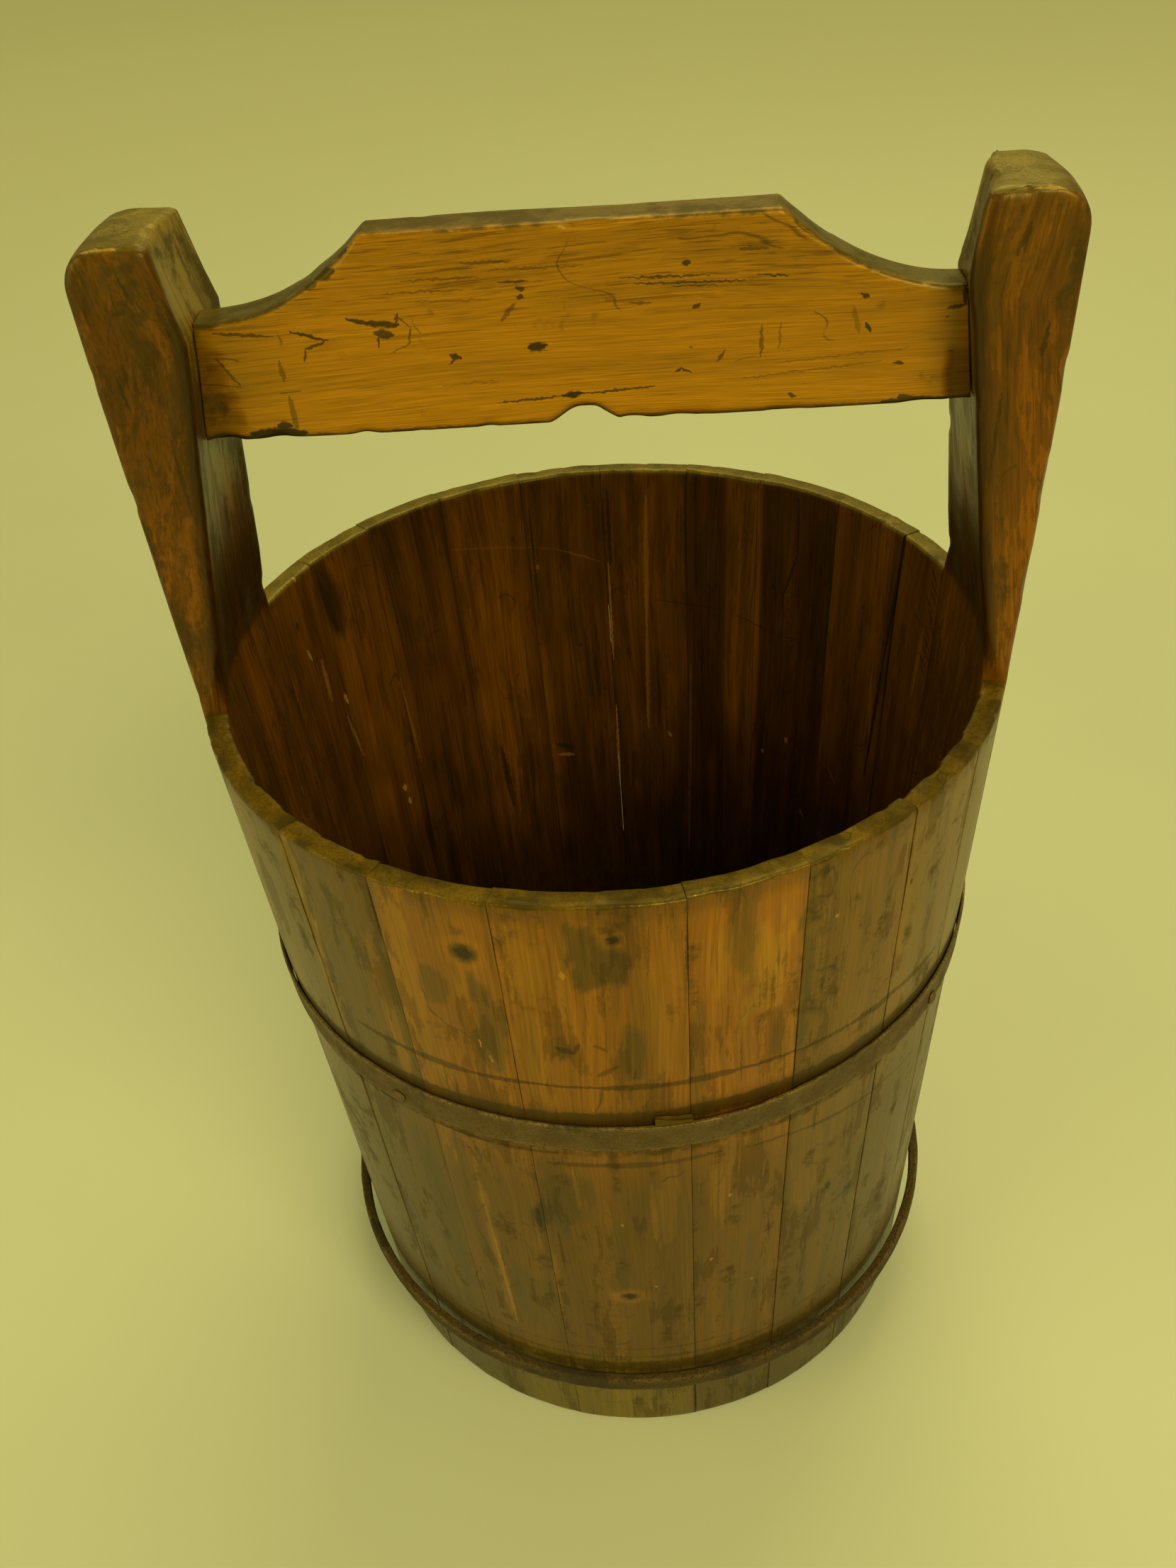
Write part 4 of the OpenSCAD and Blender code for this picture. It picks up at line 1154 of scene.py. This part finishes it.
# %% [markdown]
# ## The bottom
#
# Three boards, dowelled edge to edge and cut to a disc, sit in a groove cut inside the staves. Only their
# flat faces show, so each board stops where it enters the wall. The dowels are hidden in the wood and keep
# their frame shape, with a plain bamboo finish.

# %% Boards and dowels
def make_board(node, number):
    """One bottom board: a block whose ends follow the circle of the wall."""
    low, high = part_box(node)
    seat = wall(low.z) - stave_t + 0.6 * MM
    first, last = max(low.y, -0.996 * seat), min(high.y, 0.996 * seat)
    wide, thick = last - first, high.z - low.z
    lattice = (stations(1, 0.011, 0.012), stations(wide, 3 * MM, ARRIS), stations(thick, 3 * MM, ARRIS))
    raw, faces = block(*lattice)
    size = (1, wide, thick)
    points = soften(raw, size, 1.1 * MM, axes=(1, 2))
    y = first + points[:, 1]
    x = (2 * raw[:, 0] - 1) * np.sqrt(seat**2 - y**2)
    grain = join(y + number, points[:, 2], x + number * 0.6)
    ripple = lumps(grain, (12 * MM, 9 * MM, 40 * MM), number)
    cup = (0.4 + 0.4 * lumps(grain, (30 * MM, 30 * MM, 90 * MM), number)) * MM
    z = low.z + points[:, 2] + cup * np.where(points[:, 2] < thick / 2, 1, -1)
    above = smooth(0.4, 0.6, raw[:, 2] / thick)
    colour = paint(np.broadcast_to(tone(112, 88, 50), (len(raw), 3)), tone(46, 27, 11), above)
    dirt = 0.35 + 0.3 * ripple + 0.4 * smooth(12 * MM, 1 * MM, seat - np.hypot(x, y))
    flat = np.zeros(len(raw))
    return make_piece(f"worn_{node}", join(x, y, z), faces, board_wood, "board_wood", node,
                      grain=grain, spot=grain, stain=colour, worn=flat, dirt=np.clip(dirt, 0, 1),
                      figure=flat + 0.8)


def bamboo(name):
    """Pale split bamboo, for dowels that have no painted layers."""
    made, tree, skin = start_material(name)
    where = add(tree, "ShaderNodeTexCoord").outputs["Object"]
    lines = place(tree, grain_group, Grain=where, Bands=120.0, Fibres=1200.0)
    shade = mix(tree, lines["Fibre"], tone(126, 98, 50), tone(168, 138, 82))
    tree.links.new(shade, skin["Base Color"])
    skin["Roughness"].default_value = 0.6
    return made


for count in (1, 2, 3):
    make_board(f"bottom_board_{count}", count)
bamboo_skin = bamboo("bamboo_pins")
for node in ("stave_pins", "board_pins"):
    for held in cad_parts[node].material_slots:
        held.material = bamboo_skin

# %% [markdown]
# ## The flat hoop
#
# The upper band is thin wrought strip, bent round and riveted where its ends lap at the back. It is one
# long block sent round the cone: its last stretch climbs over its first by its own thickness. It was driven
# down until it bit, and it has since sprung off the staves a little where a sliver of wood was tucked in.

# %% Shape the flat hoop
hoop_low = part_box("flat_hoop")[0].z
hoop_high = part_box("flat_hoop")[1].z
hoop_points = corners("flat_hoop")
hoop_off = np.hypot(hoop_points[:, 0], hoop_points[:, 1]) - wall(hoop_points[:, 2])
HOOP_T = (hoop_off.max() - max(hoop_off.min(), 0)) / 2
HOOP_FIT = 0.15 * MM
LAP = math.radians(15)


def spring(turn, height):
    """How far the band has sprung off the wall, in metres. turn in degrees."""
    wide = np.exp(-(((turn + 77) / 15) ** 2))
    upper = 0.35 + 0.65 * smooth(hoop_low, hoop_high, height)
    return 2.1 * MM * wide * upper


def make_hoop():
    """The riveted band, as a long strip whose end laps over its start."""
    middle = wall((hoop_low + hoop_high) / 2)
    length = (2 * math.pi + LAP) * middle
    tall = hoop_high - hoop_low
    size = (length, HOOP_T, tall)
    raw, faces = block(stations(length, 2 * MM, 0.4 * MM), stations(HOOP_T, 0.6 * MM, 0.4 * MM),
                       stations(tall, 1.5 * MM, 0.5 * MM))
    side, deep, up = soften(raw, size, 0.45 * MM).T
    turn = math.pi / 2 - LAP / 2 + side / middle
    degrees = (np.degrees(turn) + 180) % 360 - 180
    grain = join(side, deep, up)
    dents = lumps(grain, (24 * MM, 9 * MM, 14 * MM), 2)
    climb = HOOP_T * smooth(2 * math.pi * middle - 9 * MM, 2 * math.pi * middle - 1 * MM, side)
    frayed = 0.35 * MM * lumps(grain, (5 * MM, 9 * MM, 30 * MM), 4)
    edge_distance = np.minimum(up, tall - up)
    height = hoop_low + up + 0.5 * np.clip(frayed, -0.3 * MM, 0.3 * MM)
    height = np.clip(height, hoop_low + 0.02 * MM, hoop_high - 0.02 * MM)
    radius = wall(height) + HOOP_FIT + HOOP_T - deep + climb + spring(degrees, height)
    radius = radius - 0.22 * MM * (1 + dents) * (1 - smooth(0, HOOP_T, deep)) * (climb < HOOP_T / 2)
    bent = on_circle(radius, turn, height)
    worn = np.exp(-edge_distance / (0.9 * MM)) * (0.5 + 0.5 * lumps(grain, 9 * MM, 8))
    dirt = 0.25 + 0.35 * lumps(grain, (20 * MM, 9 * MM, 8 * MM), 5) + 0.4 * (deep > HOOP_T / 2)
    return make_piece("worn_flat_hoop", bent, faces, hoop_iron, "hoop_iron", "flat_hoop",
                      grain=grain, worn=np.clip(worn, 0, 1), dirt=np.clip(dirt, 0, 1))


make_hoop()
print(f"flat hoop: {(hoop_high - hoop_low) / MM:.1f} mm wide, {HOOP_T / MM:.1f} mm thick")

# %% [markdown]
# ## Rivets, nails and the sliver
#
# Rivet and nail heads were hammered, so each is a low dome knocked a little out of round. The sliver of
# wood tucked behind the band is a split wedge: square at one end and thin at the other.

# %% Heads
def clusters(node):
    """The separate solids of a node, told apart by their direction."""
    points = corners(node)
    points = points[np.argsort(np.arctan2(points[:, 1], points[:, 0]))]
    turn = np.arctan2(points[:, 1], points[:, 0])
    return np.split(points, np.where(np.diff(turn) > math.radians(1.5))[0] + 1)


def heads(name, slot):
    """Domed heads, as one piece, where a frame node has them."""
    radius, tall = 3.2 * MM, 1.7 * MM
    slope = math.atan((rim_r - foot_r) / body_h)
    rings, steps = 8, 28
    points, faces = [], []
    for number, solid in enumerate(clusters(name)):
        reach = np.hypot(solid[:, 0], solid[:, 1])
        crown = solid[reach > reach.max() - 0.5 * MM].mean(axis=0)
        turn = math.atan2(crown[1], crown[0])
        level = math.cos(slope)
        out = np.array([math.cos(turn) * level, math.sin(turn) * level, -math.sin(slope)])
        along = np.array([-math.sin(turn), math.cos(turn), 0])
        up = np.cross(out, along)
        base = crown - out * tall
        start = len(points)
        for ring in range(rings):
            lean = math.pi / 2 * ring / rings
            for step in range(steps):
                around = 2 * math.pi * step / steps
                bumpy = 1 + 0.07 * math.sin(3 * around + number * 2) + 0.04 * math.sin(7 * around + ring)
                flat = radius * 0.97 * math.cos(lean) * bumpy
                rise = tall * math.sin(lean) * (1 + 0.05 * math.sin(2 * around))
                aside = along * flat * math.cos(around) + up * flat * math.sin(around)
                points.append(base + aside + out * rise)
        points += [base + out * tall * 0.97, base]
        tip, seat = len(points) - 2, len(points) - 1
        for step in range(steps):
            after = (step + 1) % steps
            for here in range(start, start + (rings - 1) * steps, steps):
                faces.append((here + step, here + after, here + steps + after, here + steps + step))
            faces.append((tip - steps + step, tip - steps + after, tip))
            faces.append((start + after, start + step, seat))
    points = np.array(points)
    ones = np.ones(len(points))
    make_piece(f"worn_{name}", points, faces, nail_iron, slot, name, grain=points, worn=0.35 * ones,
               dirt=0.3 * ones)


heads("hoop_rivets", "hoop_iron")
heads("hoop_nails", "nail_iron")
print("heads:", len(clusters("hoop_rivets")), "rivets,", len(clusters("hoop_nails")), "nails")

# %% The sliver
def make_sliver():
    """The wedge of wood behind the band, thin at its right end."""
    low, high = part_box("hoop_shim")
    start, stop = span("hoop_shim")
    width, tall = (stop - start) * wall(low.z), high.z - low.z
    thick = 3.0 * MM
    raw, faces = block(stations(width, 0.5 * MM, 0.3 * MM), stations(thick, 0.5 * MM, 0.3 * MM),
                       stations(tall, 0.5 * MM, 0.3 * MM))
    side, deep, up = soften(raw, (width, thick, tall), 0.35 * MM).T
    grain = join(up + 2, deep, side)
    thin = 1 - 0.45 * smooth(0, width, side)
    up = up * (thin - 0.12 * (1 + lumps(grain, (1.5 * MM, 2 * MM, 4 * MM), 3)) * up / tall)
    height = low.z + up
    lean = 1 - 0.3 * up / tall
    radius = wall(height) + HOOP_FIT + (thick - deep) * lean
    turn = start + (stop - start) * side / width
    bent = on_circle(radius, turn, height)
    colour = np.broadcast_to(tone(72, 54, 16), (len(raw), 3))
    flat = np.zeros(len(raw))
    make_piece("worn_hoop_shim", bent, faces, board_wood, "shim_wood", "hoop_shim", grain=grain, spot=grain,
               stain=colour, worn=flat, dirt=flat + 0.4, figure=flat + 0.6)


make_sliver()
print("sliver made")

# %% [markdown]
# ## The heavy ring
#
# The lower band is a forged ring, thick and scaled with rust. It has dropped until it holds at the front
# and back, and stands off the wall at both sides. Its section is swept round a slightly oval path, and
# bumps in three sizes give it the torn, layered look of iron that has stood on wet floors.

# %% Shape the heavy ring
def make_ring():
    """A closed sweep of a rounded bar, roughened all over."""
    low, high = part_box("heavy_ring")
    inside = np.hypot(*corners("heavy_ring")[:, :2].T).min()
    thick, tall = high.x - inside, high.z - low.z
    steps, round_steps = 760, 34
    turn = np.repeat(np.arange(steps) * 2 * math.pi / steps, round_steps)
    about = np.tile(np.arange(round_steps) * 2 * math.pi / round_steps, steps)
    boxy = (np.abs(np.cos(about)) ** 5 + np.abs(np.sin(about)) ** 5) ** (-1 / 5)
    out = 0.5 * thick * boxy * np.cos(about)
    up = 0.5 * tall * boxy * np.sin(about)
    grain = join(turn * inside, out, up)
    loop = on_circle(inside, turn, up)
    scale = 0.55 * lumps(loop, 7 * MM, 3) + 0.35 * lumps(loop, 3.2 * MM, 9) + 0.2 * lumps(loop, 1.7 * MM, 12)
    torn = np.clip(lumps(loop, (9 * MM, 9 * MM, 30 * MM), 21) - 0.2, 0, 1)
    shrink = 0.98 + 0.07 * scale
    up = up * (shrink - 0.12 * torn * (up > 0))
    groove = 0.5 * MM * lumps(join(turn * inside, out * 0, up), (30 * MM, MM, 1.6 * MM), 30)
    off = 2.6 * MM * np.cos(turn) ** 2 * (1 - 0.15 * np.cos(turn))
    radius = inside + thick / 2 + out * shrink + off - (out > 0) * np.abs(groove)
    level = (low.z + high.z) / 2 + up + 0.9 * MM * np.sin(turn * 2 + 0.6)
    level = np.clip(level, low.z, high.z + 1.2 * MM)
    points = on_circle(radius, turn, level)
    index = np.arange(steps * round_steps).reshape(steps, round_steps)
    ahead, beside = np.roll(index, -1, axis=0), np.roll(index, -1, axis=1)
    both = np.roll(ahead, -1, axis=1)
    faces = join(index, ahead, both, beside).reshape(-1, 4).tolist()
    # pale rubbed iron on the section's corners, partly wear and partly a painted highlight on the ring's
    # edges
    worn = np.clip(boxy - 1.05, 0, 0.3) * 2.2 * (0.5 + 0.5 * lumps(loop, 8 * MM, 14))
    dirt = np.clip(0.35 + 0.4 * lumps(loop, 14 * MM, 15), 0, 1)
    return make_piece("worn_heavy_ring", points, faces, ring_iron, "ring_rust", "heavy_ring",
                      grain=grain, worn=np.clip(worn, 0, 1), dirt=dirt)


make_ring()

# %% [markdown]
# ## Floor, light and camera
#
# A plain pale floor and three soft lamps, as in a small studio: a broad key above and in front, a weaker
# fill from the left, and a top light behind that picks out the tops of the ears and the bar. The lamps and
# the sky share one warm colour. The camera looks down at the bucket from in front, leaning a little, the
# way a person holds one.

# %% Floor and sky
FLOOR_R = 8
FLOOR_SIDES = 64


def make_floor():
    """A wide pale floor, lighter far from the bucket."""
    made, tree, skin = start_material("pale_floor")
    where = add(tree, "ShaderNodeTexCoord").outputs["Object"]
    cloud = noise(tree, where, 3.0, 4.0)
    far = ramp(tree, vector_math(tree, "LENGTH", where, None, "Value"), 0.6, 3.6)
    near_shade = mix(tree, cloud, tone(182, 190, 198), tone(192, 200, 208))
    tree.links.new(mix(tree, far, near_shade, tone(246, 250, 250)), skin["Base Color"])
    skin["Roughness"].default_value = 0.55
    mesh = bpy.data.meshes.new("studio_floor")
    around = [2 * math.pi * n / FLOOR_SIDES for n in range(FLOOR_SIDES)]
    edge = [(FLOOR_R * math.cos(a), FLOOR_R * math.sin(a), 0) for a in around]
    mesh.from_pydata(edge, [], [list(range(FLOOR_SIDES))])
    mesh.materials.append(made)
    floor = bpy.data.objects.new("studio_floor", mesh)
    bpy.context.scene.collection.objects.link(floor)


make_floor()
world = bpy.data.worlds.new("studio")
world.use_nodes = True
sky = world.node_tree.nodes["Background"].inputs
sky["Color"].default_value = (*tone(214, 204, 110), 1)
sky["Strength"].default_value = 0.55
bpy.context.scene.world = world
print("floor:", 2 * FLOOR_R, "m across")


# %% Lamps
def lamp(name, at, towards, size, power, colour):
    """A square area lamp."""
    made = bpy.data.lights.new(name, "AREA")
    made.shape, made.size = "SQUARE", size
    made.energy = power
    made.color = tone(*colour)
    placed = bpy.data.objects.new(name, made)
    placed.location = at
    placed.rotation_euler = (Vector(towards) - Vector(at)).to_track_quat("-Z", "Y").to_euler()
    bpy.context.scene.collection.objects.link(placed)


middle = (0, 0, ear_top * 0.5)
lamp("key", (0.9, -1.6, 1.9), middle, 1.1, 42, (255, 234, 138))
lamp("fill", (-1.7, -1.0, 1.2), middle, 1.4, 15, (250, 236, 132))
lamp("top", (0.3, 1.1, 2.0), middle, 1.2, 20, (255, 236, 138))
print("lamps:", [lit.name for lit in bpy.data.lights])

# %% Camera
EYE_AT = (0.0259, -0.5287, 0.7188)
TURN, TILT, LEAN = 3.98, 51.85, -4.96
FOCAL, SENSOR = 33.18, 36
lens = bpy.data.cameras.new("eye")
lens.lens = FOCAL
lens.sensor_width = SENSOR
eye = bpy.data.objects.new("eye", lens)
aim = Matrix.Rotation(math.radians(TURN), 4, "Z") @ Matrix.Rotation(math.radians(TILT), 4, "X")
aim = aim @ Matrix.Rotation(math.radians(LEAN), 4, "Z")
eye.matrix_world = Matrix.Translation(EYE_AT) @ aim
bpy.context.scene.collection.objects.link(eye)
bpy.context.scene.camera = eye
bpy.context.scene.view_settings.view_transform = "Standard"
print("camera:", [round(x / MM) for x in EYE_AT], "mm")
